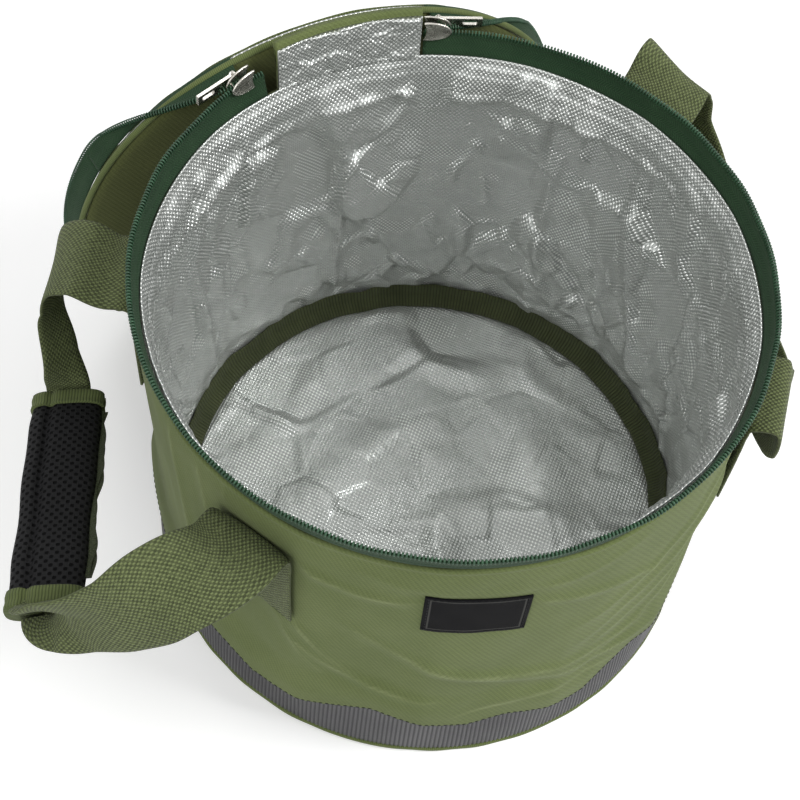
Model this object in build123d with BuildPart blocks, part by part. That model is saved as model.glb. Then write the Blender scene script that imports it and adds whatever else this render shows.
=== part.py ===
from build123d import *
import os
from math import cos, degrees, radians, sin, tan

os.makedirs("parts", exist_ok=True)

# Collapsible bait bucket, unzipped and open, in millimetres.
# +Z is up and the origin is the middle of the underside. +Y is the back, where the lid is
# hinged on a fabric tab. -Y is the front. The two webbing handles are at -X and +X.

# Clearances
layer_gap = 0.05
body_gap = 0.3
sewn_gap = 0.1
hinge_gap = 0.85

# Bucket: the rim leads, and the wall stands a little outside it at the foot and inside it at the top
rim_radius = 130.0
teeth_height = 201.0
foot_flare = 1.6
tape_set_in = 1.8
base_radius = rim_radius + foot_flare
wall_top_radius = rim_radius - tape_set_in
tape_height = 11.6
wall_top = teeth_height - tape_height
cloth = 1.2
foam_wall = 2.4
lining = 0.7

# Floor, band and trim
base_panel_thickness = 1.2
board_thickness = 3.4
piping_radius = 1.4
piping_inset = 0.2
piping_lift = 0.1
piping_sides = 10
floor_binding_width = 8.0
floor_binding_thickness = 1.2
floor_binding_reach = 2.8
floor_binding_lean = 0.2
floor_binding_fold = 1.4
band_height = 50.0
band_thickness = 1.1
band_start = 4.2

# Zip
coil_radius = 1.1
coil_sides = 8
tape_thickness = 0.9
tape_lean = 15.0
chain_gap = 1.5
tab_half_angle = 16.6
chain_end_angle = 0.3
tab_thickness = 0.9
tab_set_in = 0.5
tab_clearance = 0.4
hem_thickness = 2.6
hem_height = 2.5
hem_slope = 0.9
slider_length = 13.0
slider_height = 9.4
slider_plate = 0.9
slider_play = 0.5
slider_tail = 0.66
slider_waist = 0.72
slider_shoulder = 0.35
post_length = 3.4
post_place = 0.45
slider_left_azimuth = 112.5
slider_right_azimuth = 70.2
bail_radius = 0.7
bail_reach = 1.2
bail_stand_off = 1.9
bail_margin = 0.9
weld = 0.1
pull_length = 20.0
pull_width = 5.2
pull_thickness = 1.5
pull_play = 0.15
pull_bevel = 0.3

# Lid, drawn closed and then turned to the hanging pose of the photograph
lid_set_in = 3.4
lid_radius = rim_radius - lid_set_in
lid_foam = 4.0
lid_crown = 3.0
lid_piping_radius = 1.5
lid_piping_drop = 0.4
lid_binding_width = 9.0
lid_binding_thickness = 1.2
lid_hinge_stand_off = 4.0
lid_hinge_y = rim_radius + lid_hinge_stand_off
lid_hinge_above_seam = 2.0
lid_open_angle = 265.0
lid_far_depth = 58.6
lid_fold_angle = 75.0
lid_chain_start = 28.5

# Handles
webbing = 38.0
webbing_thickness = 1.6
patch_thickness = 1.4
pressed_share = 0.5
pressed_run = 3.0
root_stand_off = 12.0
root_drop = 18.4
root_radius = rim_radius + root_stand_off
root_height = wall_top - root_drop
patch_height = 58.0
left_front_azimuth = 211.5
left_back_azimuth = 152.0
right_front_azimuth = -38.0
right_back_azimuth = 28.0
folded_width = 20.0
folded_thickness = 3.8
grip_length = 104.0
grip_width = 31.0
grip_half_thickness = 6.2
grip_binding = 7.0
hook_width = 9.0
hook_thickness = 0.8
hook_inset = 1.0
fold_room = 0.3
binding_stand_out = 0.5

# Label
label_azimuth = -106.5
label_width = 42.0
label_height = 30.0
label_drop = 20.4
label_thickness = 0.8


def wall_radius(z):
    """Outer radius of the cloth wall at height z."""
    return base_radius + (wall_top_radius - base_radius) * z / wall_top


def radial_plane(azimuth):
    """Upright plane through the bucket's axis: local x runs outwards, local y runs up."""
    a = radians(azimuth)
    return Plane(origin=(0, 0, 0), x_dir=(cos(a), sin(a), 0), z_dir=(sin(a), -cos(a), 0))


def at_azimuth(radius, azimuth, z):
    return Vector(radius * cos(radians(azimuth)), radius * sin(radians(azimuth)), z)


# Floor
with BuildPart() as base_panel:
    with BuildSketch(Plane.XY):
        Circle(base_radius - piping_inset - piping_radius - sewn_gap)
    extrude(amount=base_panel_thickness)

board_bottom = base_panel_thickness + layer_gap
board_radius = base_radius - cloth - foam_wall - lining - 2 * layer_gap - body_gap
with BuildPart() as base_board:
    with BuildSketch(Plane.XY.offset(board_bottom)):
        Circle(board_radius)
    extrude(amount=board_thickness)

floor_bottom = board_bottom + board_thickness + layer_gap
floor_top = floor_bottom + lining
with BuildPart() as floor_lining:
    with BuildSketch(Plane.XY.offset(floor_bottom)):
        Circle(board_radius)
    extrude(amount=lining)

with BuildPart() as base_piping:
    with BuildSketch(Plane.XZ):
        with Locations((base_radius - piping_inset, piping_radius + piping_lift)):
            RegularPolygon(piping_radius, piping_sides)
    revolve(axis=Axis.Z)

# Wall: cloth, foam and lining, standing on the base panel
wall_bottom = 2 * piping_radius + piping_lift + sewn_gap


def wall_layer(outer_inset, thickness):
    """Slanted ring profile, inset from the cloth's outer face."""
    return [
        (wall_radius(wall_bottom) - outer_inset - thickness, wall_bottom),
        (wall_radius(wall_bottom) - outer_inset, wall_bottom),
        (wall_radius(wall_top) - outer_inset, wall_top),
        (wall_radius(wall_top) - outer_inset - thickness, wall_top),
    ]


with BuildPart() as outer_wall:
    with BuildSketch(Plane.XZ):
        Polygon(*wall_layer(0, cloth), align=None)
    revolve(axis=Axis.Z)

with BuildPart() as wall_foam:
    with BuildSketch(Plane.XZ):
        Polygon(*wall_layer(cloth + layer_gap, foam_wall), align=None)
    revolve(axis=Axis.Z)

with BuildPart() as wall_lining:
    with BuildSketch(Plane.XZ):
        Polygon(*wall_layer(cloth + foam_wall + 2 * layer_gap, lining), align=None)
    revolve(axis=Axis.Z)

# Ribbed binding tape over the inside floor seam, folded up the wall
seam_radius = wall_radius(floor_top) - cloth - foam_wall - lining - 2 * layer_gap - sewn_gap
binding_low = floor_top + layer_gap
with BuildPart() as floor_binding:
    with BuildSketch(Plane.XZ):
        with BuildLine():
            Polyline(
                (seam_radius - floor_binding_reach, binding_low),
                (seam_radius - sewn_gap, binding_low),
                (seam_radius - sewn_gap - floor_binding_lean, binding_low + floor_binding_width),
                (seam_radius - floor_binding_thickness, binding_low + floor_binding_width),
                (seam_radius - floor_binding_fold, binding_low + floor_binding_thickness),
                (seam_radius - floor_binding_reach, binding_low + floor_binding_thickness / 2),
                close=True,
            )
        make_face()
    revolve(axis=Axis.Z)

# Ribbed band round the foot of the wall, upright, so that the handles' patches sink behind it
band_inner = wall_radius(band_start) + sewn_gap
with BuildPart() as lower_band:
    with BuildSketch(Plane.XZ):
        Polygon(
            (band_inner, band_start),
            (band_inner + band_thickness, band_start),
            (band_inner + band_thickness, band_height),
            (band_inner, band_height),
            align=None,
        )
    revolve(axis=Axis.Z)

# Zip: each half is a leaning tape with a coil along its edge
tape_top = teeth_height - coil_radius - layer_gap
tape_foot = wall_top + sewn_gap
lean = tan(radians(tape_lean))
chain_start = 90 + tab_half_angle + chain_end_angle
chain_sweep = 360 - 2 * (tab_half_angle + chain_end_angle)


def tape_radius(drop):
    """Middle radius of the tape at a distance below the coil's centre."""
    return rim_radius - drop * lean


with BuildPart() as rim_zip_tape:
    with BuildSketch(radial_plane(chain_start)):
        Polygon(
            (tape_radius(teeth_height - tape_foot) - tape_thickness / 2, tape_foot),
            (tape_radius(teeth_height - tape_foot) + tape_thickness / 2, tape_foot),
            (tape_radius(teeth_height - tape_top) + tape_thickness / 2, tape_top),
            (tape_radius(teeth_height - tape_top) - tape_thickness / 2, tape_top),
            align=None,
        )
    revolve(axis=Axis.Z, revolution_arc=chain_sweep)

with BuildPart() as rim_zip_coil:
    with BuildSketch(radial_plane(chain_start)):
        with Locations((rim_radius, teeth_height)):
            RegularPolygon(coil_radius, coil_sides)
    revolve(axis=Axis.Z, revolution_arc=chain_sweep)

# Hinge tab between the two ends of the zip, cloth outside and lining inside
lid_teeth_height = teeth_height + 2 * coil_radius + chain_gap
lid_seam = lid_teeth_height + tape_height
tab_outer_radius = wall_top_radius - tab_set_in
tab_inner_radius = tab_outer_radius - tab_thickness - layer_gap
tab_top = lid_seam - tab_clearance

# The tab's cloth ends in a rolled hem that stands out up to the lid's piping
with BuildPart() as hinge_tab_outer:
    with BuildSketch(radial_plane(90 - tab_half_angle)):
        Polygon(
            (tab_outer_radius - tab_thickness, tape_foot),
            (tab_outer_radius, tape_foot),
            (tab_outer_radius, tab_top - hem_height - hem_slope),
            (tab_outer_radius + hem_thickness, tab_top - hem_height),
            (tab_outer_radius + hem_thickness, tab_top),
            (tab_outer_radius - tab_thickness, tab_top),
            align=None,
        )
    revolve(axis=Axis.Z, revolution_arc=2 * tab_half_angle)

with BuildPart() as hinge_tab_lining:
    with BuildSketch(radial_plane(90 - tab_half_angle)):
        Polygon(
            (tab_inner_radius - tab_thickness, tape_foot),
            (tab_inner_radius, tape_foot),
            (tab_inner_radius, tab_top),
            (tab_inner_radius - tab_thickness, tab_top),
            align=None,
        )
    revolve(axis=Axis.Z, revolution_arc=2 * tab_half_angle)

# Zip sliders: two plates joined by a wedge post between the two coils, and a bail for the pull
slider_middle = teeth_height + coil_radius + chain_gap / 2
plate_gap = 2 * (coil_radius + slider_play)
plate_outer = rim_radius + plate_gap / 2 + slider_plate
pivot_radius = plate_outer + bail_stand_off
nose = slider_length / 2


def slider_frame(azimuth):
    """Plane tangent to the rim: local x runs along the chain, local y runs up, normal outwards."""
    a = radians(azimuth)
    return Plane(origin=(0, 0, 0), x_dir=(-sin(a), cos(a), 0), z_dir=(cos(a), sin(a), 0))


def build_slider(name, azimuth, ahead):
    """ahead is +1 when the slider closes the zip with rising azimuth, -1 with falling."""
    frame = slider_frame(azimuth)
    half = slider_height / 2
    with BuildPart() as body:
        for depth in (rim_radius - plate_gap / 2 - slider_plate, rim_radius + plate_gap / 2):
            with BuildSketch(frame.offset(depth)):
                with BuildLine():
                    Polyline(
                        (ahead * nose, slider_middle + half),
                        (ahead * nose * slider_shoulder, slider_middle + half),
                        (-ahead * nose * slider_shoulder, slider_middle + half * slider_waist),
                        (-ahead * nose, slider_middle + half * slider_tail),
                        (-ahead * nose, slider_middle - half * slider_tail),
                        (-ahead * nose * slider_shoulder, slider_middle - half * slider_waist),
                        (ahead * nose * slider_shoulder, slider_middle - half),
                        (ahead * nose, slider_middle - half),
                        (ahead * nose * slider_waist, slider_middle),
                        close=True,
                    )
                make_face()
            extrude(amount=slider_plate)
        with BuildSketch(frame.offset(rim_radius - plate_gap / 2 - weld)):
            with Locations((ahead * nose * post_place, slider_middle)):
                SlotOverall(post_length, chain_gap - 2 * body_gap)
        extrude(amount=plate_gap + 2 * weld)
        for along in (-1, 1):
            with BuildSketch(frame.offset(plate_outer - weld)):
                with Locations((0, slider_middle + along * (pull_width / 2 + bail_margin))):
                    Rectangle(2 * bail_radius, bail_reach)
            extrude(amount=pivot_radius - plate_outer + weld + bail_radius)
        with BuildSketch(Plane.XY.offset(slider_middle - pull_width / 2 - bail_margin - weld)):
            with Locations(at_azimuth(pivot_radius, azimuth, 0)):
                Circle(bail_radius)
        extrude(amount=pull_width + 2 * (bail_margin + weld))
    body.part.label = name
    return body


def build_pull(name, azimuth, ahead):
    """Pull lying along the chain, its eye round the bail."""
    a = radians(azimuth)
    along = Vector(-sin(a), cos(a), 0) * ahead
    pivot = at_azimuth(pivot_radius, azimuth, 0)
    plan = Plane(
        origin=(pivot.X, pivot.Y, slider_middle - pull_width / 2 + pull_play),
        x_dir=along,
        z_dir=(0, 0, 1),
    )
    with BuildPart() as pull:
        with BuildSketch(plan):
            Circle(pull_thickness)
            with Locations((pull_length / 2, 0)):
                Rectangle(pull_length, pull_thickness)
            Circle(bail_radius + sewn_gap, mode=Mode.SUBTRACT)
        extrude(amount=pull_width - 2 * pull_play)
        across = along.cross(Vector(0, 0, 1))
        face = Plane(origin=(pivot.X, pivot.Y, slider_middle), x_dir=along, z_dir=across)
        with BuildSketch(face.offset(-pull_thickness)):
            with Locations((pull_length * 0.72, 0)):
                SlotOverall(pull_length * 0.34, pull_width * 0.42)
        extrude(amount=2 * pull_thickness, mode=Mode.SUBTRACT)
        tip = pivot + along * pull_length
        ends = pull.edges().filter_by(lambda e: abs((e.center() - tip).dot(along)) < layer_gap)
        chamfer(ends.group_by(lambda e: e.length)[0], pull_bevel)
    pull.part.label = name
    return pull


slider_left_body = build_slider("slider_left_body", slider_left_azimuth, 1)
slider_right_body = build_slider("slider_right_body", slider_right_azimuth, -1)
slider_left_pull = build_pull("slider_left_pull", slider_left_azimuth, 1)
slider_right_pull = build_pull("slider_right_pull", slider_right_azimuth, -1)

# Lid, built closed, cut at the line where the hanging lid meets the floor and folds
lid_hinge_z = lid_seam + lid_hinge_above_seam
fold_y = lid_far_depth - lid_radius
lid_lining_bottom = lid_seam + layer_gap
lid_foam_bottom = lid_lining_bottom + lining + layer_gap
lid_cloth_bottom = lid_foam_bottom + lid_foam + layer_gap
cut_gap = body_gap / 2
half_fold = lid_fold_angle / 2

near_side = Plane(origin=(0, fold_y + cut_gap, lid_seam), x_dir=(1, 0, 0), z_dir=(0, 1, 0))
far_side = Plane(origin=(0, fold_y - cut_gap, lid_seam), x_dir=(1, 0, 0), z_dir=(0, -1, 0))
mitre_tilt = radians(half_fold)
near_mitre = Plane(
    origin=(0, fold_y + cut_gap / cos(mitre_tilt), lid_seam),
    x_dir=(1, 0, 0),
    z_dir=(0, cos(mitre_tilt), sin(mitre_tilt)),
)
far_mitre = Plane(
    origin=(0, fold_y - cut_gap / cos(mitre_tilt), lid_seam),
    x_dir=(1, 0, 0),
    z_dir=(0, -cos(mitre_tilt), sin(mitre_tilt)),
)


def turn_about(y, z, angle):
    """Turn about a line along X through (y, z)."""
    return Pos(0, y, z) * Rot(angle, 0, 0) * Pos(0, -y, -z)


hang = turn_about(lid_hinge_y, lid_hinge_z, -lid_open_angle)
bend = turn_about(fold_y, lid_seam, lid_fold_angle)


def build_lid_disc(name, kind, keep_plane, placed):
    """One layer of the lid: crowned cloth, foam that fills the crown, or flat lining."""
    with BuildPart() as disc:
        with BuildSketch(Plane.XZ):
            with BuildLine():
                if kind == "outer":
                    low = ThreePointArc(
                        (-lid_radius, lid_cloth_bottom),
                        (0, lid_cloth_bottom + lid_crown),
                        (lid_radius, lid_cloth_bottom),
                    )
                    side = Line(low @ 1, (lid_radius, lid_cloth_bottom + cloth))
                    top = ThreePointArc(
                        side @ 1,
                        (0, lid_cloth_bottom + lid_crown + cloth),
                        (-lid_radius, lid_cloth_bottom + cloth),
                    )
                    Line(top @ 1, low @ 0)
                elif kind == "foam":
                    reach = lid_radius - tab_clearance
                    top = ThreePointArc(
                        (-reach, lid_foam_bottom + lid_foam),
                        (0, lid_foam_bottom + lid_foam + lid_crown),
                        (reach, lid_foam_bottom + lid_foam),
                    )
                    Polyline(top @ 1, (reach, lid_foam_bottom), (-reach, lid_foam_bottom), top @ 0)
                else:
                    reach = lid_radius - tab_clearance
                    Polyline(
                        (-reach, lid_lining_bottom),
                        (reach, lid_lining_bottom),
                        (reach, lid_lining_bottom + lining),
                        (-reach, lid_lining_bottom + lining),
                        close=True,
                    )
            make_face()
            split(bisect_by=Plane.YZ, keep=Keep.TOP)
        revolve(axis=Axis.Z)
        split(bisect_by=keep_plane, keep=Keep.TOP)
    disc.part = placed * disc.part
    disc.part.label = name
    return disc


def build_lid_ring(name, kind, keep_plane, placed, side=0):
    """Edge trim of the lid. side keeps only the left (-1) or right (+1) run of it."""
    top = lid_seam - sewn_gap
    low = lid_teeth_height + coil_radius + layer_gap
    start = 90 + lid_chain_start
    with BuildPart() as ring:
        if kind == "piping":
            with BuildSketch(Plane.XZ):
                edge = lid_radius + lid_piping_radius + sewn_gap
                with Locations((edge, lid_cloth_bottom - lid_piping_drop)):
                    RegularPolygon(lid_piping_radius, piping_sides)
            revolve(axis=Axis.Z)
        elif kind == "binding":
            outer = tab_inner_radius - tab_thickness - body_gap
            with BuildSketch(Plane.XZ):
                Polygon(
                    (outer - lid_binding_width, top - lid_binding_thickness),
                    (outer, top - lid_binding_thickness),
                    (outer, top),
                    (outer - lid_binding_width, top),
                    align=None,
                )
            revolve(axis=Axis.Z)
        elif kind == "tape":
            with BuildSketch(radial_plane(start)):
                Polygon(
                    (tape_radius(top - lid_teeth_height) - tape_thickness / 2, top),
                    (tape_radius(top - lid_teeth_height) + tape_thickness / 2, top),
                    (tape_radius(low - lid_teeth_height) + tape_thickness / 2, low),
                    (tape_radius(low - lid_teeth_height) - tape_thickness / 2, low),
                    align=None,
                )
            revolve(axis=Axis.Z, revolution_arc=360 - 2 * lid_chain_start)
        elif kind == "coil":
            with BuildSketch(radial_plane(start)):
                with Locations((rim_radius, lid_teeth_height)):
                    RegularPolygon(coil_radius, coil_sides)
            revolve(axis=Axis.Z, revolution_arc=360 - 2 * lid_chain_start)
        split(bisect_by=keep_plane, keep=Keep.TOP)
        if side:
            split(bisect_by=Plane(origin=(0, 0, 0), x_dir=(0, 1, 0), z_dir=(side, 0, 0)), keep=Keep.TOP)
    ring.part = placed * ring.part
    ring.part.label = name
    return ring


lid_pieces = []
for half, plane, mitre, place in (
    ("near", near_side, near_mitre, hang),
    ("far", far_side, far_mitre, hang * bend),
):
    for kind in ("outer", "foam", "lining"):
        lid_pieces.append(build_lid_disc("lid_" + kind + "_" + half, kind, plane, place))
    lid_pieces.append(build_lid_ring("lid_piping_" + half, "piping", plane, place))
    lid_pieces.append(build_lid_ring("lid_binding_" + half, "binding", mitre, place))
    for kind in ("tape", "coil"):
        if half == "far":
            lid_pieces.append(build_lid_ring("lid_zip_" + kind + "_far", kind, mitre, place))
        else:
            lid_pieces.append(build_lid_ring("lid_zip_" + kind + "_left", kind, mitre, place, -1))
            lid_pieces.append(build_lid_ring("lid_zip_" + kind + "_right", kind, mitre, place, 1))


# Handle ends: each is a stitched patch on the wall whose top folds outwards
def build_strap_end(name, azimuth):
    half_angle = degrees(webbing / 2 / wall_radius(root_height))
    inner = sewn_gap + layer_gap
    foot = root_height - patch_height
    shelf = root_height - webbing_thickness / 2
    tip = root_radius - hinge_gap
    tip_half = webbing_thickness * pressed_share / 2
    with BuildPart() as end:
        with BuildSketch(radial_plane(azimuth - half_angle)):
            Polygon(
                (wall_radius(foot) + inner, foot),
                (wall_radius(foot) + inner + patch_thickness, foot),
                (wall_radius(shelf) + inner + patch_thickness, shelf),
                (tip - pressed_run, shelf),
                (tip, root_height - tip_half),
                (tip, root_height + tip_half),
                (tip - pressed_run, shelf + webbing_thickness),
                (wall_radius(shelf + webbing_thickness) + inner, shelf + webbing_thickness),
                align=None,
            )
        revolve(axis=Axis.Z, revolution_arc=2 * half_angle)
        outward = at_azimuth(1, azimuth, 0)
        trim = Plane(origin=outward * tip, x_dir=(0, 0, 1), z_dir=outward * -1)
        split(bisect_by=trim, keep=Keep.TOP)
    end.part.label = name
    return end


left_strap_end_front = build_strap_end("left_strap_end_front", left_front_azimuth)
left_strap_end_back = build_strap_end("left_strap_end_back", left_back_azimuth)
right_strap_end_front = build_strap_end("right_strap_end_front", right_front_azimuth)
right_strap_end_back = build_strap_end("right_strap_end_back", right_back_azimuth)

def beside_root(out, azimuth, drop):
    """A point of a handle: how far outside the roots' circle, at which azimuth, how far below them."""
    return at_azimuth(root_radius + out, azimuth, root_height - drop)


# Grip of the left handle: straight, its frame given by its middle, its run and its top
grip_middle = beside_root(31.7, 179.14, 53.5)
grip_run = Vector(0.335, 0.931, -0.145).normalized()
grip_side = Vector(0.941, -0.325, 0.089)
grip_side = (grip_side - grip_run * grip_side.dot(grip_run)).normalized()
grip_top = grip_side.cross(grip_run).normalized()
grip_start = grip_middle - grip_run * (grip_length / 2)
grip_end = grip_middle + grip_run * (grip_length / 2)

# Stations of a strap: centre, direction across its width, width, thickness
flat = (webbing, webbing_thickness)
partly_folded = (webbing * 0.8, webbing_thickness * 1.35)
folded = (folded_width, folded_thickness)
pressed = (webbing, webbing_thickness * pressed_share)


def root_station(azimuth, sign):
    side = at_azimuth(sign, azimuth + 90, 0)
    return (at_azimuth(root_radius, azimuth, root_height), side) + pressed


left_front_leg = [
    root_station(left_front_azimuth, 1),
    (beside_root(28.7, -150.13, 4), Vector(0.50, -0.80, -0.32)) + flat,
    (beside_root(51.2, -153.57, 16), Vector(0.56, -0.42, -0.71)) + flat,
    (beside_root(67.8, -157.59, 30), Vector(0.68, -0.10, -0.72)) + partly_folded,
    (grip_start, grip_side) + folded,
]
left_grip_leg = [(grip_start, grip_side) + folded, (grip_end, grip_side) + folded]
left_back_leg = [
    (grip_end, grip_side) + folded,
    (beside_root(24.5, 155.9, 51), Vector(0.80, -0.60, 0.1)) + folded,
    (beside_root(28.2, 150.42, 25), Vector(0.05, -0.99, 0.0)) + partly_folded,
    (beside_root(25.6, 149.92, 7), Vector(-0.42, -0.90, 0.0)) + flat,
    (beside_root(13.8, 150.8, -1), Vector(-0.44, -0.89, 0.0)) + flat,
    root_station(left_back_azimuth, 1),
]
right_leg = [
    root_station(right_front_azimuth, 1),
    (beside_root(7.1, -37.92, 2.5), Vector(0.616, 0.788, 0.0)) + flat,
    (beside_root(7.0, -36.68, 14), Vector(0.60, 0.79, 0.12)) + flat,
    (beside_root(4.6, -30.76, 31), Vector(0.64, 0.60, 0.48)) + flat,
    (beside_root(4.8, -17.45, 49), Vector(0.72, 0.28, 0.64)) + flat,
    (beside_root(12.1, -1.49, 60), Vector(0.82, 0.0, 0.57)) + flat,
    (beside_root(25.9, 12.38, 58), Vector(0.84, -0.20, 0.50)) + flat,
    (beside_root(37.6, 21.56, 40), Vector(0.72, -0.58, 0.38)) + flat,
    (beside_root(40.5, 26.71, 16), Vector(0.50, -0.86, 0.10)) + flat,
    (beside_root(34.9, 28.16, 0.5), Vector(0.47, -0.883, 0.0)) + flat,
    (beside_root(25.8, 28.09, -3.5), Vector(0.469, -0.883, 0.0)) + flat,
    root_station(right_back_azimuth, -1),
]


def leg_sections(stations, steps, leave, arrive):
    """Section planes along one smooth run through the stations, with its end directions."""
    points = [s[0] for s in stations]
    chords = [(points[i + 1] - points[i]).length for i in range(len(points) - 1)]
    slopes = [leave.normalized()]
    for i in range(1, len(points) - 1):
        slopes.append((points[i + 1] - points[i - 1]) * (1 / (chords[i - 1] + chords[i])))
    slopes.append(arrive.normalized())
    sections = []
    for i in range(steps + 1):
        along = i / steps * (len(points) - 1)
        k = min(int(along), len(points) - 2)
        t = along - k
        ease = t * t * (3 - 2 * t)
        span = points[k + 1] - points[k]
        start = slopes[k] * chords[k]
        finish = slopes[k + 1] * chords[k]
        centre = points[k] + span * ease + start * (t * (1 - t) ** 2) - finish * (t * t * (1 - t))
        forward = span * (6 * t * (1 - t)) + start * (1 - 4 * t + 3 * t * t) + finish * (3 * t * t - 2 * t)
        side = stations[k][1].normalized() * (1 - ease) + stations[k + 1][1].normalized() * ease
        side = side - forward.normalized() * side.dot(forward.normalized())
        width = stations[k][2] + (stations[k + 1][2] - stations[k][2]) * ease
        thick = stations[k][3] + (stations[k + 1][3] - stations[k][3]) * ease
        sections.append((Plane(origin=centre, x_dir=side, z_dir=forward), width, thick))
    return sections


def build_strap(name, sections):
    """Flat webbing as a ruled loft through its sections."""
    with BuildPart() as strap:
        for plane, width, thick in sections:
            with BuildSketch(plane):
                Rectangle(width, thick)
        loft(ruled=True)
    strap.part.label = name
    return strap


rise = 0.1
leave_left = at_azimuth(1, left_front_azimuth, rise)
reach_left = at_azimuth(-1, left_back_azimuth, -rise)
left_sections = leg_sections(left_front_leg, 16, leave_left, grip_run)
left_sections += leg_sections(left_grip_leg, 1, grip_run, grip_run)[1:]
left_sections += leg_sections(left_back_leg, 18, grip_run, reach_left)[1:]
left_handle_strap = build_strap("left_handle_strap", left_sections)

leave_right = at_azimuth(1, right_front_azimuth, rise)
reach_right = at_azimuth(-1, right_back_azimuth, -rise)
right_sections = leg_sections(right_leg, 34, leave_right, reach_right)
right_handle_strap = build_strap("right_handle_strap", right_sections)

# Wrap round the grip: a sewn pad below the strap and a flap above it that opens at its inner edge
core_half = folded_thickness / 2 + sewn_gap
# Local x runs to the inner edge, local y to the top, and the normal from the back to the front
grip_plane = Plane(origin=grip_end, x_dir=grip_side, z_dir=grip_run * -1)


def half_shell(up, grow, extra):
    """Half of the grip's section: a rounded block with room for half of the folded strap."""
    with BuildSketch(mode=Mode.PRIVATE) as half:
        width = grip_width + 2 * grow
        height = grip_half_thickness + grow
        with BuildLine():
            base_line = Line((-width / 2, 0), (width / 2, 0))
            Spline(
                base_line @ 1,
                (width * 0.42, height * 0.72),
                (0, height),
                (-width * 0.42, height * 0.72),
                base_line @ 0,
            )
        make_face()
        with Locations((0, 0)):
            Rectangle(folded_width + 2 * fold_room, 2 * core_half, mode=Mode.SUBTRACT)
        with Locations((0, 0)):
            Rectangle(width + 2, 2 * extra, mode=Mode.SUBTRACT)
    return half.sketch if up else half.sketch.mirror(Plane.XZ)


def build_grip(name, up, grow, begin, length):
    extra = hook_thickness + body_gap / 2 if up else hook_thickness
    with BuildPart() as pad:
        with BuildSketch(grip_plane.offset(begin)):
            add(half_shell(up, grow, extra))
        extrude(amount=length)
    pad.part.label = name
    return pad


middle = grip_length - 2 * grip_binding
grip_pad = build_grip("grip_pad", False, 0, grip_binding + layer_gap, middle - 2 * layer_gap)
grip_flap = build_grip("grip_flap", True, 0, grip_binding + layer_gap, middle - 2 * layer_gap)
front_binding = grip_length - grip_binding
front_end = (binding_stand_out, front_binding, grip_binding)
back_end = (binding_stand_out, 0, grip_binding)
grip_pad_binding_front = build_grip("grip_pad_binding_front", False, *front_end)
grip_pad_binding_back = build_grip("grip_pad_binding_back", False, *back_end)
grip_flap_binding_front = build_grip("grip_flap_binding_front", True, *front_end)
grip_flap_binding_back = build_grip("grip_flap_binding_back", True, *back_end)


def build_strip(name, up):
    """Hook or loop tape along the inner edge, between the flap and the pad."""
    low = body_gap / 2 + layer_gap if up else -hook_thickness + layer_gap
    tall = hook_thickness - 2 * layer_gap
    with BuildPart() as strip:
        with BuildSketch(grip_plane.offset(grip_binding + hook_inset)):
            with Locations((folded_width / 2 + fold_room + sewn_gap + hook_width / 2, low + tall / 2)):
                Rectangle(hook_width, tall)
        extrude(amount=middle - 2 * hook_inset)
    strip.part.label = name
    return strip


grip_hook_strip = build_strip("grip_hook_strip", True)
grip_loop_strip = build_strip("grip_loop_strip", False)

# Bare woven label on the front of the wall
label_high = wall_top - label_drop
label_low = label_high - label_height
label_inner = sewn_gap + layer_gap
label_half = degrees(label_width / 2 / wall_radius(label_low))
with BuildPart() as woven_label:
    with BuildSketch(radial_plane(label_azimuth - label_half)):
        Polygon(
            (wall_radius(label_low) + label_inner, label_low),
            (wall_radius(label_low) + label_inner + label_thickness, label_low),
            (wall_radius(label_high) + label_inner + label_thickness, label_high),
            (wall_radius(label_high) + label_inner, label_high),
            align=None,
        )
    revolve(axis=Axis.Z, revolution_arc=2 * label_half)

base_panel.part.label = "base_panel"
base_board.part.label = "base_board"
floor_lining.part.label = "floor_lining"
base_piping.part.label = "base_piping"
outer_wall.part.label = "outer_wall"
wall_foam.part.label = "wall_foam"
wall_lining.part.label = "wall_lining"
floor_binding.part.label = "floor_binding"
lower_band.part.label = "lower_band"
rim_zip_tape.part.label = "rim_zip_tape"
rim_zip_coil.part.label = "rim_zip_coil"
left_handle_strap.part.label = "left_handle_strap"
right_handle_strap.part.label = "right_handle_strap"
hinge_tab_outer.part.label = "hinge_tab_outer"
hinge_tab_lining.part.label = "hinge_tab_lining"
woven_label.part.label = "woven_label"

pieces = [
    base_panel, base_board, floor_lining, base_piping, outer_wall, wall_foam, wall_lining,
    floor_binding, lower_band, rim_zip_tape, rim_zip_coil, hinge_tab_outer, hinge_tab_lining,
    slider_left_body, slider_right_body, slider_left_pull, slider_right_pull,
    left_strap_end_front, left_strap_end_back, right_strap_end_front, right_strap_end_back,
    left_handle_strap, right_handle_strap, grip_pad, grip_flap,
    grip_pad_binding_front, grip_pad_binding_back, grip_flap_binding_front, grip_flap_binding_back,
    grip_hook_strip, grip_loop_strip, woven_label,
] + lid_pieces

for piece in pieces:
    export_step(piece.part, "parts/" + piece.part.label + ".step")

print("lid hinge y, z", round(lid_hinge_y, 3), round(lid_hinge_z, 3))
fold_line = (hang * Pos(0, fold_y, lid_seam)).position
print("fold line y, z", round(fold_line.Y, 3), round(fold_line.Z, 3))
for azimuth in (slider_left_azimuth, slider_right_azimuth):
    print("slider pivot", at_azimuth(pivot_radius, azimuth, slider_middle))
for name, front, back in (
    ("left", left_front_azimuth, left_back_azimuth),
    ("right", right_front_azimuth, right_back_azimuth),
):
    front_root = at_azimuth(root_radius, front, root_height)
    back_root = at_azimuth(root_radius, back, root_height)
    print(name, "handle hinge from", front_root, "to", back_root)
hinge_edge = grip_middle - grip_side * (grip_width / 2)
print("grip flap hinge", hinge_edge, "along", grip_run)
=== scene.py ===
from math import cos, degrees, pi, radians, sin, tan

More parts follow.
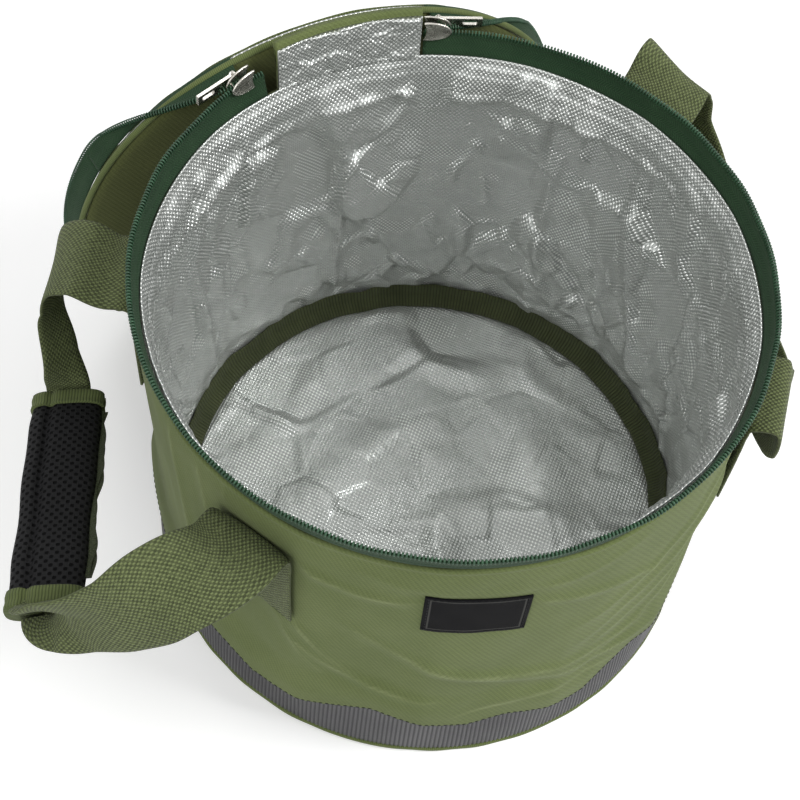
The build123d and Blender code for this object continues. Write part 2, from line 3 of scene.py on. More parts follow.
import bmesh
import bpy
import numpy as np
from mathutils import Matrix, Vector


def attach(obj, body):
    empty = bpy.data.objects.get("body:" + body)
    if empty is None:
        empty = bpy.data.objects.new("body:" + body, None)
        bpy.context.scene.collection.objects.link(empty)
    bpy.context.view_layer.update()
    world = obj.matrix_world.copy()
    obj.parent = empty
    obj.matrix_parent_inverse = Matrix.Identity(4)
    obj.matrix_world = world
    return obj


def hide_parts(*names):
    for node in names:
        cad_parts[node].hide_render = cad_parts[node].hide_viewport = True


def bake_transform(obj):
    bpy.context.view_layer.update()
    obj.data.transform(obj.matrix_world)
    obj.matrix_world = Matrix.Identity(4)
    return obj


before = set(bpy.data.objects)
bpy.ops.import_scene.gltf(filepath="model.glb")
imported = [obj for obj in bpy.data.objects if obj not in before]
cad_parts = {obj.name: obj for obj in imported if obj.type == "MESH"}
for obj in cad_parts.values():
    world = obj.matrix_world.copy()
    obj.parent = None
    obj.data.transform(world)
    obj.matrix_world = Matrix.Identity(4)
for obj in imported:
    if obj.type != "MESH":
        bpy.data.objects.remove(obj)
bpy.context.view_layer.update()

# Collapsible bait bucket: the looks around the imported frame.
# Shapes are worked out in millimetres and become meshes in metres.
MM = 0.001

# Sizes that follow the frame
RIM = 130.0
TEETH = 201.0
BASE = 131.6
WALL_TOP_RADIUS = 128.2
TAPE_HEIGHT = 11.6
WALL_TOP = TEETH - TAPE_HEIGHT
WALL_BOTTOM = 3.0
CLOTH = 1.2
FOAM = 2.4
LINING = 0.7
LAYER = 0.05
FLOOR_TOP = 5.4
BAND_BOTTOM = 4.2
BAND_TOP = 50.0
TAPE_LEAN = 15.0
TAB_HALF_ANGLE = 16.6
LID_RADIUS = 126.6
LID_TEETH = 204.7
LID_SEAM = LID_TEETH + TAPE_HEIGHT
LID_HINGE_Y = 134.0
LID_HINGE_Z = 218.3
LID_OPEN = 265.0
LID_BEND = 75.0
LID_FOLD_Y = LID_HINGE_Y - 202.0
LID_FOLD_Z = LID_SEAM

# Sewing and zips
COIL_PITCH = 1.5
LINING_ROWS = (5.5, 16.0)


class Wire:
    """A shader value that takes part in Python arithmetic."""

    def __init__(self, graph, socket):
        self.graph = graph
        self.socket = socket

    def math(self, operation, *others):
        values = dict(enumerate([self, *others]))
        return self.graph.node("ShaderNodeMath", {"operation": operation}, values)

    def __add__(self, other):
        return self.math("ADD", other)

    __radd__ = __add__

    def __sub__(self, other):
        return self.math("SUBTRACT", other)

    def __rsub__(self, other):
        return self.graph.node("ShaderNodeMath", {"operation": "SUBTRACT"}, {0: other, 1: self})

    def __mul__(self, other):
        return self.math("MULTIPLY", other)

    __rmul__ = __mul__

    def __abs__(self):
        return self.math("ABSOLUTE")

    def sine(self):
        return self.math("SINE")

    def highest(self, other):
        return self.math("MAXIMUM", other)

    def step(self, low, high):
        """0 below low, 1 above high, smooth between."""
        sockets = {"Value": self, "From Min": low, "From Max": high}
        return self.graph.node("ShaderNodeMapRange", {"interpolation_type": "SMOOTHSTEP"}, sockets)


class Finish:
    """One procedural material on a Principled shader."""

    def __init__(self, name, **constants):
        self.material = bpy.data.materials.new(name)
        self.material.use_nodes = True
        self.tree = self.material.node_tree
        self.shader = self.tree.nodes["Principled BSDF"]
        for socket, value in constants.items():
            self.shader.inputs[socket.replace("_", " ")].default_value = value

    def node(self, kind, settings=None, sockets=None, output=0):
        """Adds one node: its settings first, then the values or links of its sockets."""
        made = self.tree.nodes.new(kind)
        for key, value in (settings or {}).items():
            setattr(made, key, value)
        for key, value in (sockets or {}).items():
            self.feed(made.inputs[key], value)
        return Wire(self, made.outputs[output])

    def feed(self, socket, value):
        if isinstance(value, Wire):
            self.tree.links.new(value.socket, socket)
        else:
            socket.default_value = value

    def set(self, socket, value):
        self.feed(self.shader.inputs[socket], value)

    def uv(self):
        """The piece's own UV map, in millimetres along and across."""
        coordinates = self.node("ShaderNodeUVMap", {"uv_map": "UVMap"})
        split = self.node("ShaderNodeSeparateXYZ", None, {0: coordinates})
        return split, Wire(self, split.socket.node.outputs[1])

    def noise(self, size, detail=3.0, rough=0.55, stretch=(1, 1, 1)):
        """Noise on Object coordinates, its features about size millimetres."""
        place = self.node("ShaderNodeTexCoord", output=3)
        mapped = self.node("ShaderNodeMapping", None, {"Vector": place, "Scale": stretch})
        sockets = {"Vector": mapped, "Scale": 1 / (size * MM), "Detail": detail, "Roughness": rough}
        return self.node("ShaderNodeTexNoise", None, sockets)

    def mix(self, share, first, second):
        """Colour between two colours."""
        made = self.tree.nodes.new("ShaderNodeMix")
        made.data_type = "RGBA"
        self.feed(made.inputs[0], share)
        for socket, colour in ((6, first), (7, second)):
            self.feed(made.inputs[socket], colour if isinstance(colour, Wire) else (*colour, 1))
        return Wire(self, made.outputs[2])

    def attribute(self, name):
        return self.node("ShaderNodeAttribute", {"attribute_name": name}, output=2)

    def bump(self, height, depth, strength=1.0):
        """Feeds Normal from a height of 0 to 1 that is depth millimetres deep."""
        sockets = {"Height": height, "Distance": depth * MM, "Strength": strength}
        self.set("Normal", self.node("ShaderNodeBump", None, sockets))


def waves(value, pitch, phase=0.0):
    """Sine of a running length in millimetres."""
    return (value * (2 * pi / pitch) + phase).sine()


def olive_cloth(name, base, pale, worn):
    """Plain-woven polyester: fine diagonal weave, uneven dye and pale rubbed folds."""
    g = Finish(name, Roughness=0.9, Specular_IOR_Level=0.2, Sheen_Weight=0.06, Sheen_Roughness=0.5)
    u, v = g.uv()
    weave = waves(u, 1.5) * waves(v, 1.7) * 0.5 + 0.5
    twill = waves(u + v * 0.6, 2.3) * 0.5 + 0.5
    yarn = weave * 0.55 + twill * 0.45
    patches = g.noise(38, 4.0).step(0.3, 0.72)
    slubs = g.noise(2.2, 2.0, 0.7, (1, 1, 5)).step(0.25, 0.8)
    colour = g.mix(patches * 0.5, base, pale)
    colour = g.mix((1 - yarn) * 0.5, colour, tuple(c * 0.38 for c in base))
    colour = g.mix(slubs * 0.14, colour, tuple(c * 1.4 for c in pale))
    colour = g.mix(g.attribute("crest") * 0.5, colour, worn)
    g.set("Base Color", colour)
    g.bump(yarn * 0.8 + slubs * 0.2, 0.22, 0.8)
    return g.material


def ribbed_tape(name, base, pale, pitch, depth=0.22):
    """Grosgrain: round ribs across the tape, fine yarn along it."""
    g = Finish(name, Roughness=0.85, Specular_IOR_Level=0.25, Sheen_Weight=0.06, Sheen_Roughness=0.5)
    u, v = g.uv()
    rib = abs(waves(u, pitch * 2)).step(0.0, 0.9)
    yarn = waves(v, 0.55) * 0.5 + 0.5
    wander = g.noise(14, 3.0).step(0.3, 0.75)
    colour = g.mix(wander * 0.5, base, pale)
    colour = g.mix((1 - rib) * 0.6, colour, tuple(c * 0.25 for c in base))
    g.set("Base Color", colour)
    g.bump(rib * 0.85 + yarn * 0.15, depth, 0.9)
    return g.material


def webbing_finish(name, base, pale):
    """Handle webbing: rows of small raised loops in offset columns, and plain selvedges."""
    g = Finish(name, Roughness=0.85, Specular_IOR_Level=0.25, Sheen_Weight=0.08, Sheen_Roughness=0.5)
    u, v = g.uv()
    loops = (waves(v, 1.9) * waves(u, 2.2)).step(-0.5, 0.6)
    ridge = abs(waves(v, 1.9)).step(0.0, 0.7)
    height = loops * 0.8 + ridge * 0.2
    wander = g.noise(30, 3.0).step(0.3, 0.75)
    fleck = g.noise(1.6, 1.0).step(0.35, 0.75)
    colour = g.mix(wander * 0.5, base, pale)
    # Painted shade: the gaps between the raised loops are painted near black.
    colour = g.mix((1 - height) * 0.95, colour, tuple(c * 0.10 for c in base))
    colour = g.mix(fleck * 0.2, colour, tuple(c * 1.45 for c in pale))
    g.set("Base Color", colour)
    g.bump(height, 0.5, 1.0)
    return g.material


def foil_finish(name):
    """Aluminised woven lining: yarn dots in offset rows painted bright as glints, with painted shade in the grey
    between them.
    """
    g = Finish(name, Metallic=0.62, Specular_IOR_Level=0.5)
    u, v = g.uv()
    dots = (waves(u, 2.3) * waves(v, 2.5)).step(-0.25, 0.75)
    fine = g.noise(5, 3.0, 0.6)
    dull = g.noise(30, 4.0).step(0.35, 0.7)
    # Painted glints and shade: the yarn dots are painted near white, the gaps between them grey.
    colour = g.mix(dots, (0.36, 0.38, 0.365), (0.97, 0.98, 0.95))
    colour = g.mix(dull * 0.25, colour, (0.50, 0.52, 0.50))
    g.set("Base Color", colour)
    g.set("Roughness", 0.20 + dull * 0.10 + (1 - dots) * 0.10)
    g.bump(dots * 0.62 + fine * 0.38, 0.42, 0.8)
    return g.material


def band_finish(name):
    """Dark grey ribbed band: satin ribs, with painted shade making their valleys and the strip under the cloth's
    fold near black.
    """
    g = Finish(name, Roughness=0.34, Specular_IOR_Level=0.55)
    valley = g.attribute("valley")
    u, v = g.uv()
    yarn = waves(v, 0.9) * waves(u, 0.5) * 0.5 + 0.5
    wander = g.noise(20, 3.0).step(0.3, 0.7)
    colour = g.mix(wander * 0.5, (0.030, 0.029, 0.033), (0.058, 0.056, 0.062))
    # Painted shade: the rib valleys and the band's strip under the cloth's fold are painted near black.
    colour = g.mix(valley * 0.92, colour, (0.004, 0.004, 0.005))
    g.set("Base Color", colour)
    g.set("Roughness", 0.30 + valley * 0.5)
    g.bump(yarn, 0.08, 0.5)
    return g.material


def zip_tape_finish(name):
    """Zip tape: dark green, herringbone yarn."""
    g = Finish(name, Roughness=0.85, Specular_IOR_Level=0.2, Sheen_Weight=0.05)
    u, v = g.uv()
    side = waves(v, 5.2).step(-0.1, 0.1) * 2 - 1
    twill = (u * (2 * pi / 1.3) + v * side * 3.4).sine() * 0.5 + 0.5
    wander = g.noise(16, 3.0).step(0.3, 0.7)
    colour = g.mix(wander * 0.5, (0.020, 0.052, 0.022), (0.034, 0.078, 0.034))
    colour = g.mix((1 - twill) * 0.55, colour, (0.006, 0.018, 0.008))
    g.set("Base Color", colour)
    g.bump(twill, 0.14, 0.8)
    return g.material


def nylon_finish(name, base):
    """Moulded nylon coil."""
    g = Finish(name, Roughness=0.4, Specular_IOR_Level=0.4)
    wander = g.noise(6, 2.0).step(0.3, 0.7)
    g.set("Base Color", g.mix(wander, base, tuple(c * 1.7 for c in base)))
    return g.material


def nickel_finish(name):
    """Bright nickel plating, slightly hazed and scuffed."""
    g = Finish(name, Metallic=1.0)
    haze = g.noise(3.5, 4.0, 0.7).step(0.3, 0.75)
    scuffs = g.noise(0.7, 2.0, 0.6, (1, 6, 1)).step(0.45, 0.7)
    g.set("Base Color", g.mix(haze * 0.5, (0.60, 0.58, 0.53), (0.38, 0.36, 0.32)))
    g.set("Roughness", 0.17 + haze * 0.16 + scuffs * 0.08)
    g.bump(scuffs, 0.03, 0.4)
    return g.material


def mesh_finish(name):
    """Black spacer mesh: offset rows of oval holes between bands of yarn."""
    g = Finish(name, Roughness=0.7, Specular_IOR_Level=0.12)
    u, v = g.uv()
    hole = (waves(v, 4.2) * waves(u, 3.9)).step(0.1, 0.7)
    yarn = waves(u + v, 0.8) * waves(u - v, 0.8) * 0.5 + 0.5
    colour = g.mix(hole, (0.0085, 0.0085, 0.009), (0.0008, 0.0008, 0.001))
    colour = g.mix(yarn * (1 - hole) * 0.3, colour, (0.024, 0.024, 0.026))
    g.set("Base Color", colour)
    g.set("Roughness", 0.5 + hole * 0.4)
    g.bump((1 - hole) * 0.85 + yarn * 0.15, 0.9, 1.0)
    return g.material


def fuzz_finish(name, base):
    """Hook-and-loop tape: rough short pile."""
    g = Finish(name, Roughness=0.95, Specular_IOR_Level=0.15, Sheen_Weight=0.15, Sheen_Roughness=0.6)
    pile = g.noise(0.6, 2.0, 0.7).step(0.3, 0.7)
    g.set("Base Color", g.mix(pile, tuple(c * 0.5 for c in base), tuple(c * 1.3 for c in base)))
    g.bump(pile, 0.5, 1.0)
    return g.material


def label_finish(name):
    """Plain black woven label with a thin grey border woven in."""
    g = Finish(name, Roughness=0.7, Specular_IOR_Level=0.08)
    u, v = g.uv()
    satin = waves(u, 0.62) * waves(v, 0.8) * 0.5 + 0.5
    edge = abs(u).step(18.2, 18.5) * (1 - abs(u).step(18.9, 19.2)) * (1 - abs(v).step(13.0, 13.3))
    ends = abs(v).step(12.2, 12.5) * (1 - abs(v).step(12.9, 13.2)) * (1 - abs(u).step(18.9, 19.2))
    colour = g.mix(satin * 0.5, (0.002, 0.002, 0.0025), (0.008, 0.008, 0.009))
    colour = g.mix(edge.highest(ends) * 0.75, colour, (0.07, 0.07, 0.065))
    g.set("Base Color", colour)
    g.bump(satin, 0.1, 0.7)
    return g.material


def thread_finish(name, base):
    """Sewing thread with a two-ply twist."""
    g = Finish(name, Roughness=0.7, Specular_IOR_Level=0.2)
    ply = g.noise(0.5, 1.0).step(0.35, 0.65)
    g.set("Base Color", g.mix(ply, tuple(c * 0.6 for c in base), tuple(c * 1.2 for c in base)))
    return g.material


CLOTH_OLIVE = olive_cloth("olive_cloth", (0.128, 0.162, 0.056), (0.178, 0.216, 0.082), (0.33, 0.37, 0.19))
# Painted shade: the lid's cloth is the olive cloth painted darker, for the lid hanging in shade behind the wall.
CLOTH_LID_SHADED = olive_cloth("olive_lid_cloth_painted_shade", (0.095, 0.110, 0.036), (0.125, 0.142, 0.05), (0.22, 0.25, 0.11))
PIPING_OLIVE = ribbed_tape("olive_piping", (0.125, 0.160, 0.054), (0.17, 0.21, 0.075), 0.9, 0.12)
GROSGRAIN_DARK = ribbed_tape("dark_olive_grosgrain", (0.048, 0.058, 0.024), (0.078, 0.092, 0.038), 1.7, 0.5)
GROSGRAIN = ribbed_tape("olive_grosgrain", (0.100, 0.128, 0.044), (0.155, 0.19, 0.07), 1.3, 0.3)
WEBBING = webbing_finish("olive_webbing", (0.145, 0.178, 0.070), (0.195, 0.232, 0.098))
FOIL = foil_finish("silver_foil_lining")
BAND_GREY = band_finish("grey_ribbed_band")
ZIP_TAPE = zip_tape_finish("green_zip_tape")
ZIP_COIL = nylon_finish("green_nylon_coil", (0.020, 0.055, 0.028))
NICKEL = nickel_finish("bright_nickel")
MESH_BLACK = mesh_finish("black_spacer_mesh")
HOOK_LOOP = fuzz_finish("olive_hook_and_loop", (0.070, 0.088, 0.038))
LABEL_BLACK = label_finish("black_woven_label")
THREAD_BLACK = thread_finish("black_thread", (0.012, 0.012, 0.013))
THREAD_OLIVE = thread_finish("olive_thread", (0.13, 0.17, 0.06))
THREAD_SILVER = thread_finish("grey_thread", (0.42, 0.44, 0.42))
FOAM_WHITE = thread_finish("white_foam", (0.62, 0.62, 0.60))


def piece_from(name, corners, quads, uv, material):
    """A mesh object from corners in millimetres, quads of corner numbers and a UV pair for each loop."""
    mesh = bpy.data.meshes.new(name)
    corners = np.asarray(corners, float).reshape(-1, 3)
    quads = np.asarray(quads, np.int32)
    a, b, c, d = (corners[quads[:, k]] for k in range(4))
    volume = np.einsum("ij,ij->i", a, np.cross(b, c)).sum() + np.einsum("ij,ij->i", a, np.cross(c, d)).sum()
    if volume < 0:
        quads = quads[:, ::-1]
        uv = uv[:, ::-1]
    mesh.vertices.add(len(corners))
    mesh.vertices.foreach_set("co", (corners * MM).ravel())
    mesh.loops.add(quads.size)
    mesh.loops.foreach_set("vertex_index", np.ascontiguousarray(quads).ravel())
    mesh.polygons.add(len(quads))
    mesh.polygons.foreach_set("loop_start", np.arange(0, quads.size, 4))
    mesh.polygons.foreach_set("use_smooth", np.ones(len(quads), bool))
    layer = mesh.uv_layers.new(name="UVMap")
    layer.data.foreach_set("uv", np.ascontiguousarray(uv, np.float32).ravel())
    mesh.materials.append(material)
    mesh.update(calc_edges=True)
    made = bpy.data.objects.new(name, mesh)
    bpy.context.scene.collection.objects.link(made)
    return made


def lattice(name, points, uv, material, closed=(True, True), values=None):
    """Quads over a grid of points (rows, columns, 3). A closed way joins its last line to its first,
    and its UV grid has one more line. values are named numbers for each point."""
    rows, columns = points.shape[:2]
    r, c = np.meshgrid(np.arange(rows - (not closed[0])), np.arange(columns - (not closed[1])), indexing="ij")
    r, c = r.ravel(), c.ravel()
    up, on = (r + 1) % rows, (c + 1) % columns
    quads = np.stack([r * columns + c, r * columns + on, up * columns + on, up * columns + c], 1)
    loops = np.stack([uv[r, c], uv[r, c + 1], uv[r + 1, c + 1], uv[r + 1, c]], 1)
    made = piece_from(name, points, quads, loops, material)
    for key, numbers in (values or {}).items():
        field = made.data.attributes.new(key, "FLOAT", "POINT")
        field.data.foreach_set("value", np.asarray(numbers, np.float32).ravel())
    return made


def running(points, axis, closed):
    """Length run along an axis of a point grid, in millimetres, with one more line where closed."""
    if closed:
        points = np.concatenate([points, points.take([0], axis)], axis)
    steps = np.linalg.norm(np.diff(points, axis=axis), axis=-1)
    zero = np.zeros_like(steps.take([0], axis))
    return np.concatenate([zero, np.cumsum(steps, axis)], axis)


def capped(points, axis):
    """Adds the middle of the first and last section of a run, so that its ends can be closed."""
    other = 1 - axis
    middle = points.mean(other, keepdims=True)
    ends = [np.repeat(middle.take([k], axis), points.shape[other], other) for k in (0, -1)]
    return np.concatenate([ends[0], points, ends[1]], axis)


def run_values(values):
    """Repeats the first and last value of a run."""
    return np.pad(values, 1, mode="edge")


def around(radius, azimuth, z):
    """Points in millimetres from radius, azimuth in degrees and height."""
    a = np.radians(azimuth)
    radius, a, z = np.broadcast_arrays(radius, a, z)
    return np.stack([radius * np.cos(a), radius * np.sin(a), z], -1)


def ring_shell(name, front, back, rows, back_rows, columns, material, unit_radius=RIM, span=None):
    """A closed sheet round the bucket's axis. front and back give (radius, height, values) at azimuths
    and at shares of the way up; span is (first, last) azimuth where it isn't a full ring."""
    full = span is None
    if full:
        azimuth = np.linspace(-180, 180, columns, endpoint=False)
    else:
        azimuth = np.linspace(span[0], span[1], columns)
    share = np.linspace(0, 1, rows)[:, None]
    share_back = np.linspace(1, 0, back_rows)[:, None]
    grid = np.broadcast_to(azimuth, (rows, columns))
    grid_back = np.broadcast_to(azimuth, (back_rows, columns))
    r1, z1, values = front(grid, np.broadcast_to(share, grid.shape))
    r2, z2, _ = back(grid_back, np.broadcast_to(share_back, grid_back.shape))
    radius = np.concatenate([r1, r2])
    height = np.concatenate([z1, z2])
    points = around(radius, np.concatenate([grid, grid_back]), height)
    if not full:
        points = capped(points, 1)
    middle = columns // 2
    up = running(points[:, middle : middle + 1], 0, True)
    along = np.radians(azimuth) * unit_radius
    if full:
        along = np.append(along, pi * unit_radius)
    else:
        along = run_values(along)
    uv = np.stack(np.broadcast_arrays(along[None, :], up), -1)
    named = {}
    for key, numbers in values.items():
        filled = np.concatenate([numbers, np.zeros_like(r2)])
        if not full:
            filled = np.pad(filled, ((0, 0), (1, 1)), mode="edge")
        named[key] = filled
    return lattice(name, points, uv, material, (True, full), named)


def sheet_radius(z):
    """The cloth wall's outer radius before its folds."""
    return BASE + (WALL_TOP_RADIUS - BASE) * z / WALL_TOP


def turned(azimuth, centre):
    """Azimuth difference from a centre, between -180 and 180."""
    return (azimuth - centre + 180) % 360 - 180


def smooth(low, high, value):
    t = np.clip((value - low) / (high - low), 0, 1)
    return t * t * (3 - 2 * t)


def ripple(azimuth, z, seed, length, rise, count=14):
    """Even, smooth unevenness of about -1 to 1, with features of a length round the ring and a rise."""
    random = np.random.default_rng(seed)
    total = 0
    for _ in range(count):
        turns = max(1, round(2 * pi * RIM / length * random.uniform(0.4, 1.3)))
        climb = random.uniform(-1.2, 1.2) * 2 * pi / rise
        total = total + np.cos(np.radians(azimuth) * turns + z * climb + random.uniform(0, 2 * pi))
    return total / np.sqrt(count) / 1.4


def ridge_field(azimuth, z, ridges, narrow=1.0):
    """Height of soft folds. Each is (az, z) of its start, middle pull and end, its width and height."""
    height = np.zeros(azimuth.shape)
    for (a0, z0), (a1, z1), (a2, z2), width, tall in ridges:
        width = width * narrow
        t = np.linspace(0, 1, 61)
        ca = (1 - t) ** 2 * 0 + 2 * t * (1 - t) * (a1 - a0) + t * t * (a2 - a0)
        cz = (1 - t) ** 2 * z0 + 2 * t * (1 - t) * z1 + t * t * z2
        ca = ca * pi / 180 * RIM
        s = turned(azimuth, a0) * pi / 180 * RIM
        beside = np.abs(s - ca.mean()) < np.ptp(ca) / 2 + 3 * width
        near = beside & (np.abs(z - cz.mean()) < np.ptp(cz) / 2 + 3 * width)
        ds = s[near][:, None] - ca
        dz = z[near][:, None] - cz
        distance = ds * ds + dz * dz
        nearest = distance.argmin(1)
        gap = np.sqrt(distance.min(1))
        taper = np.sin(pi * np.clip(t[nearest] * 0.92 + 0.04, 0, 1)) ** 0.6
        height[near] += tall * taper * np.exp(-((gap / width) ** 2))
    return height


# The wall stands a little out of round: its corners, by azimuth, and how far the flats fall inside
CORNERS = (-166, -139, -114, -88, -62, -33, -4, 24, 52, 88, 121, 158)
FLAT_DEPTH = 2.6


def out_of_round(azimuth, z):
    """How far the whole wall gives inwards between its corners, most just above the band."""
    corners = np.array(CORNERS + (CORNERS[0] + 360,))
    a = (azimuth - corners[0]) % 360 + corners[0]
    index = np.clip(np.searchsorted(corners, a, side="right") - 1, 0, len(corners) - 2)
    low, high = corners[index], corners[index + 1]
    t = (a - low) / (high - low)
    flat = np.sin(pi * t) ** 1.15
    strength = smooth(2, 46, z) * (1 - 0.8 * smooth(70, 150, z))
    return -FLAT_DEPTH * flat * strength


WALL_FOLDS = (
    # start, pull and end as (azimuth, height), width, height of the fold
    ((-150, 176), (-134, 150), (-116, 160), 3.6, 1.7),
    ((-99, 156), (-84, 150), (-68, 130), 3.4, 1.7),
    ((-144, 146), (-142, 96), (-126, 70), 4.2, 1.0),
    ((-147, 128), (-144, 90), (-134, 66), 3.6, 0.8),
    ((-130, 124), (-104, 70), (-60, 52), 4.6, 2.2),
    ((-116, 98), (-94, 72), (-66, 70), 4.2, 1.7),
    ((-108, 44), (-92, 62), (-70, 44), 4.4, 1.7),
    ((-141, 92), (-126, 60), (-112, 62), 3.8, 1.6),
    ((-128, 176), (-104, 158), (-78, 176), 3.2, 1.2),
    ((-50, 180), (-62, 140), (-86, 116), 4.0, 1.9),
    ((-34, 178), (-54, 130), (-84, 96), 4.6, 2.1),
    ((-24, 160), (-46, 112), (-80, 84), 4.6, 1.9),
    ((-18, 184), (-38, 166), (-58, 124), 3.6, 1.7),
    ((-30, 116), (-52, 84), (-84, 62), 4.2, 1.5),
    ((-163, 182), (-160, 140), (-154, 84), 3.6, 1.7),
    ((-172, 184), (-170, 140), (-160, 70), 4.0, 1.8),
    ((176, 184), (178, 146), (-176, 84), 4.4, 1.6),
    ((-156, 186), (-156, 160), (-150, 130), 3.0, 1.2),
    ((6, 176), (2, 130), (-12, 86), 4.6, 1.8),
    ((46, 180), (40, 140), (44, 80), 5.0, 1.5),
    ((64, 170), (72, 130), (66, 74), 5.0, 1.6),
    ((96, 150), (104, 110), (98, 70), 5.0, 1.6),
    ((128, 168), (120, 120), (126, 76), 5.0, 1.6),
    ((14, 120), (34, 92), (58, 84), 4.6, 1.4),
    ((104, 90), (124, 78), (142, 84), 4.6, 1.4),
)

# Where the cloth's soft fold over the band ends, by azimuth
FOLD_AZIMUTHS = (-180, -166, -150, -138, -124, -105, -97, -80, -68, -53, -33, -4, 24, 52, 88, 121, 150, 180)
FOLD_HEIGHTS = (38, 40, 27, 31, 43, 32, 37, 29, 46, 39, 42, 36, 41, 35, 42, 36, 40, 38)


def fold_edge(azimuth):
    return np.interp(turned(azimuth, 0), FOLD_AZIMUTHS, FOLD_HEIGHTS)


LABEL_AZIMUTH = -107.8
LABEL_LOW = 135.0
LABEL_HIGH = 165.0
LABEL_SLOPE = 0.10
LABEL_HALF_WIDTH = 21.0
PATCH_AZIMUTHS = (211.5, 152.0, -38.0, 28.0)


def pressed_flat(azimuth, z):
    """0 where the label or a handle's sewn end holds the cloth flat, 1 where it is free."""
    free = 1.0
    for centre, half, low, high in [(LABEL_AZIMUTH, LABEL_HALF_WIDTH, LABEL_LOW, LABEL_HIGH)] + [
        (a, 19.0, 113.0, 171.0) for a in PATCH_AZIMUTHS
    ]:
        s = np.abs(turned(azimuth, centre)) * pi / 180 * RIM
        away = np.maximum(s - half, np.maximum(low - z, z - high))
        free = free * (0.12 + 0.88 * smooth(-1, 9, away))
    return free


def wall_relief(azimuth, z):
    """The cloth's own folds, standing out from the wall, and its soft fold over the band."""
    folds = 0.68 * ridge_field(azimuth, z, WALL_FOLDS)
    soft = 0.8 * ripple(azimuth, z, 11, 70, 120) + 0.25 * ripple(azimuth, z, 12, 26, 40)
    free = smooth(BAND_TOP - 3, BAND_TOP + 12, z) * (1 - smooth(WALL_TOP - 16, WALL_TOP - 3, z))
    edge = fold_edge(azimuth)
    over = 3.1 * smooth(edge - 0.9, edge + 1.4, z) * (1 - smooth(edge + 10, edge + 34, z))
    return (folds + soft + 0.4) * free * pressed_flat(azimuth, z) + over


def wall_cloth_piece():
    def front(azimuth, share):
        z = WALL_BOTTOM + (WALL_TOP - 0.3 - WALL_BOTTOM) * share
        relief = wall_relief(azimuth, z)
        roll = 0.7 * np.exp(-(((z - WALL_TOP + 1.6) / 1.5) ** 2))
        hem = roll - 0.35 * np.exp(-(((z - WALL_TOP + 4.4) / 0.8) ** 2))
        crest = ridge_field(azimuth, z, WALL_FOLDS, 0.24) * (0.6 + 0.5 * ripple(azimuth, z, 21, 30, 30))
        crest = crest * pressed_flat(azimuth, z)
        radius = sheet_radius(z) + out_of_round(azimuth, z) + relief + hem
        return radius, z, {"crest": np.clip(crest / 1.6, 0, 1)}

    def back(azimuth, share):
        z = WALL_BOTTOM + (WALL_TOP - 0.3 - WALL_BOTTOM) * share
        return sheet_radius(z) + out_of_round(azimuth, z) - CLOTH, z, {}

    made = ring_shell("wall_cloth", front, back, 118, 12, 640, CLOTH_OLIVE)
    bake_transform(made)
    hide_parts("outer_wall")
    return made


def wall_foam_piece():
    def face(seat):
        def side(azimuth, share):
            z = WALL_BOTTOM + (WALL_TOP - 2.0 - WALL_BOTTOM) * share
            return seat(z) + out_of_round(azimuth, z), z, {}

        return side

    outside = face(lambda z: sheet_radius(z) - CLOTH - LAYER)
    inside = face(lambda z: np.minimum(lining_seat(z) + LAYER, sheet_radius(z) - CLOTH - LAYER - 0.25))
    made = ring_shell("wall_foam_sheet", outside, inside, 16, 16, 240, FOAM_WHITE)
    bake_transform(made)
    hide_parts("wall_foam")
    return made


def facets(u, v, seed, size, tilt, stretch=1.0, period=None):
    """Crushed foil: flat facets that tilt each its own way and meet in creases, in millimetres."""
    random = np.random.default_rng(seed)
    low_u, high_u = (0, period) if period else (u.min() - size, u.max() + size)
    low_v, high_v = v.min() - size, v.max() + size
    across = max(3, round((high_u - low_u) / size))
    up = max(3, round((high_v - low_v) / (size * stretch)))
    cell_u, cell_v = (high_u - low_u) / across, (high_v - low_v) / up
    a, b = np.meshgrid(np.arange(across), np.arange(up))
    seed_u = (low_u + (a + random.uniform(0, 1, a.shape)) * cell_u).ravel()
    seed_v = (low_v + (b + random.uniform(0, 1, b.shape)) * cell_v).ravel()
    way = random.uniform(0, 2 * pi, len(seed_u))
    steep = tilt * random.uniform(0.35, 1.0, len(seed_u))
    first = np.full(u.shape, 1e9)
    second = np.full(u.shape, 1e9)
    height = np.zeros(u.shape)
    for su, sv, w, k in zip(seed_u, seed_v, way, steep):
        du = u - su
        if period:
            du = (du + period / 2) % period - period / 2
        dv = (v - sv) / stretch
        far = np.hypot(du, dv)
        nearer = far < first
        second = np.where(nearer, first, np.minimum(second, far))
        height = np.where(nearer, (du * cos(w) + dv * sin(w)) * k + 0.35 * size * tilt * cos(5 * w), height)
        first = np.where(nearer, far, first)
    return height * smooth(0, size * 0.22, second - first)


def crumple(u, v, seed, period=None):
    """Three scales of facets."""
    return (
        facets(u, v, seed, 34, 0.20, 1.5, period)
        + facets(u, v, seed + 1, 17, 0.17, 1.2, period)
        + facets(u, v, seed + 2, 8, 0.10, 1.0, period)
    )


LINING_CREASES = (
    ((58, 30), (70, 90), (64, 160), 3.5, -3.2),
    ((64, 20), (84, 60), (92, 118), 4.0, 3.2),
    ((92, 16), (90, 70), (90, 170), 2.6, 3.4),
    ((120, 20), (110, 60), (112, 150), 4.5, -2.8),
    ((128, 24), (138, 90), (134, 165), 4.5, 3.0),
    ((140, 20), (150, 60), (168, 110), 4.0, 3.2),
    ((150, 150), (130, 176), (104, 168), 4.0, 3.0),
    ((34, 24), (44, 70), (40, 150), 4.0, 3.2),
    ((20, 20), (30, 80), (54, 110), 4.0, -2.8),
    ((6, 22), (12, 80), (22, 160), 4.5, 3.4),
    ((-10, 24), (-4, 90), (4, 150), 4.0, 3.0),
    ((72, 168), (44, 178), (12, 168), 4.0, 2.6),
    ((100, 175), (80, 166), (60, 178), 3.4, 2.4),
)


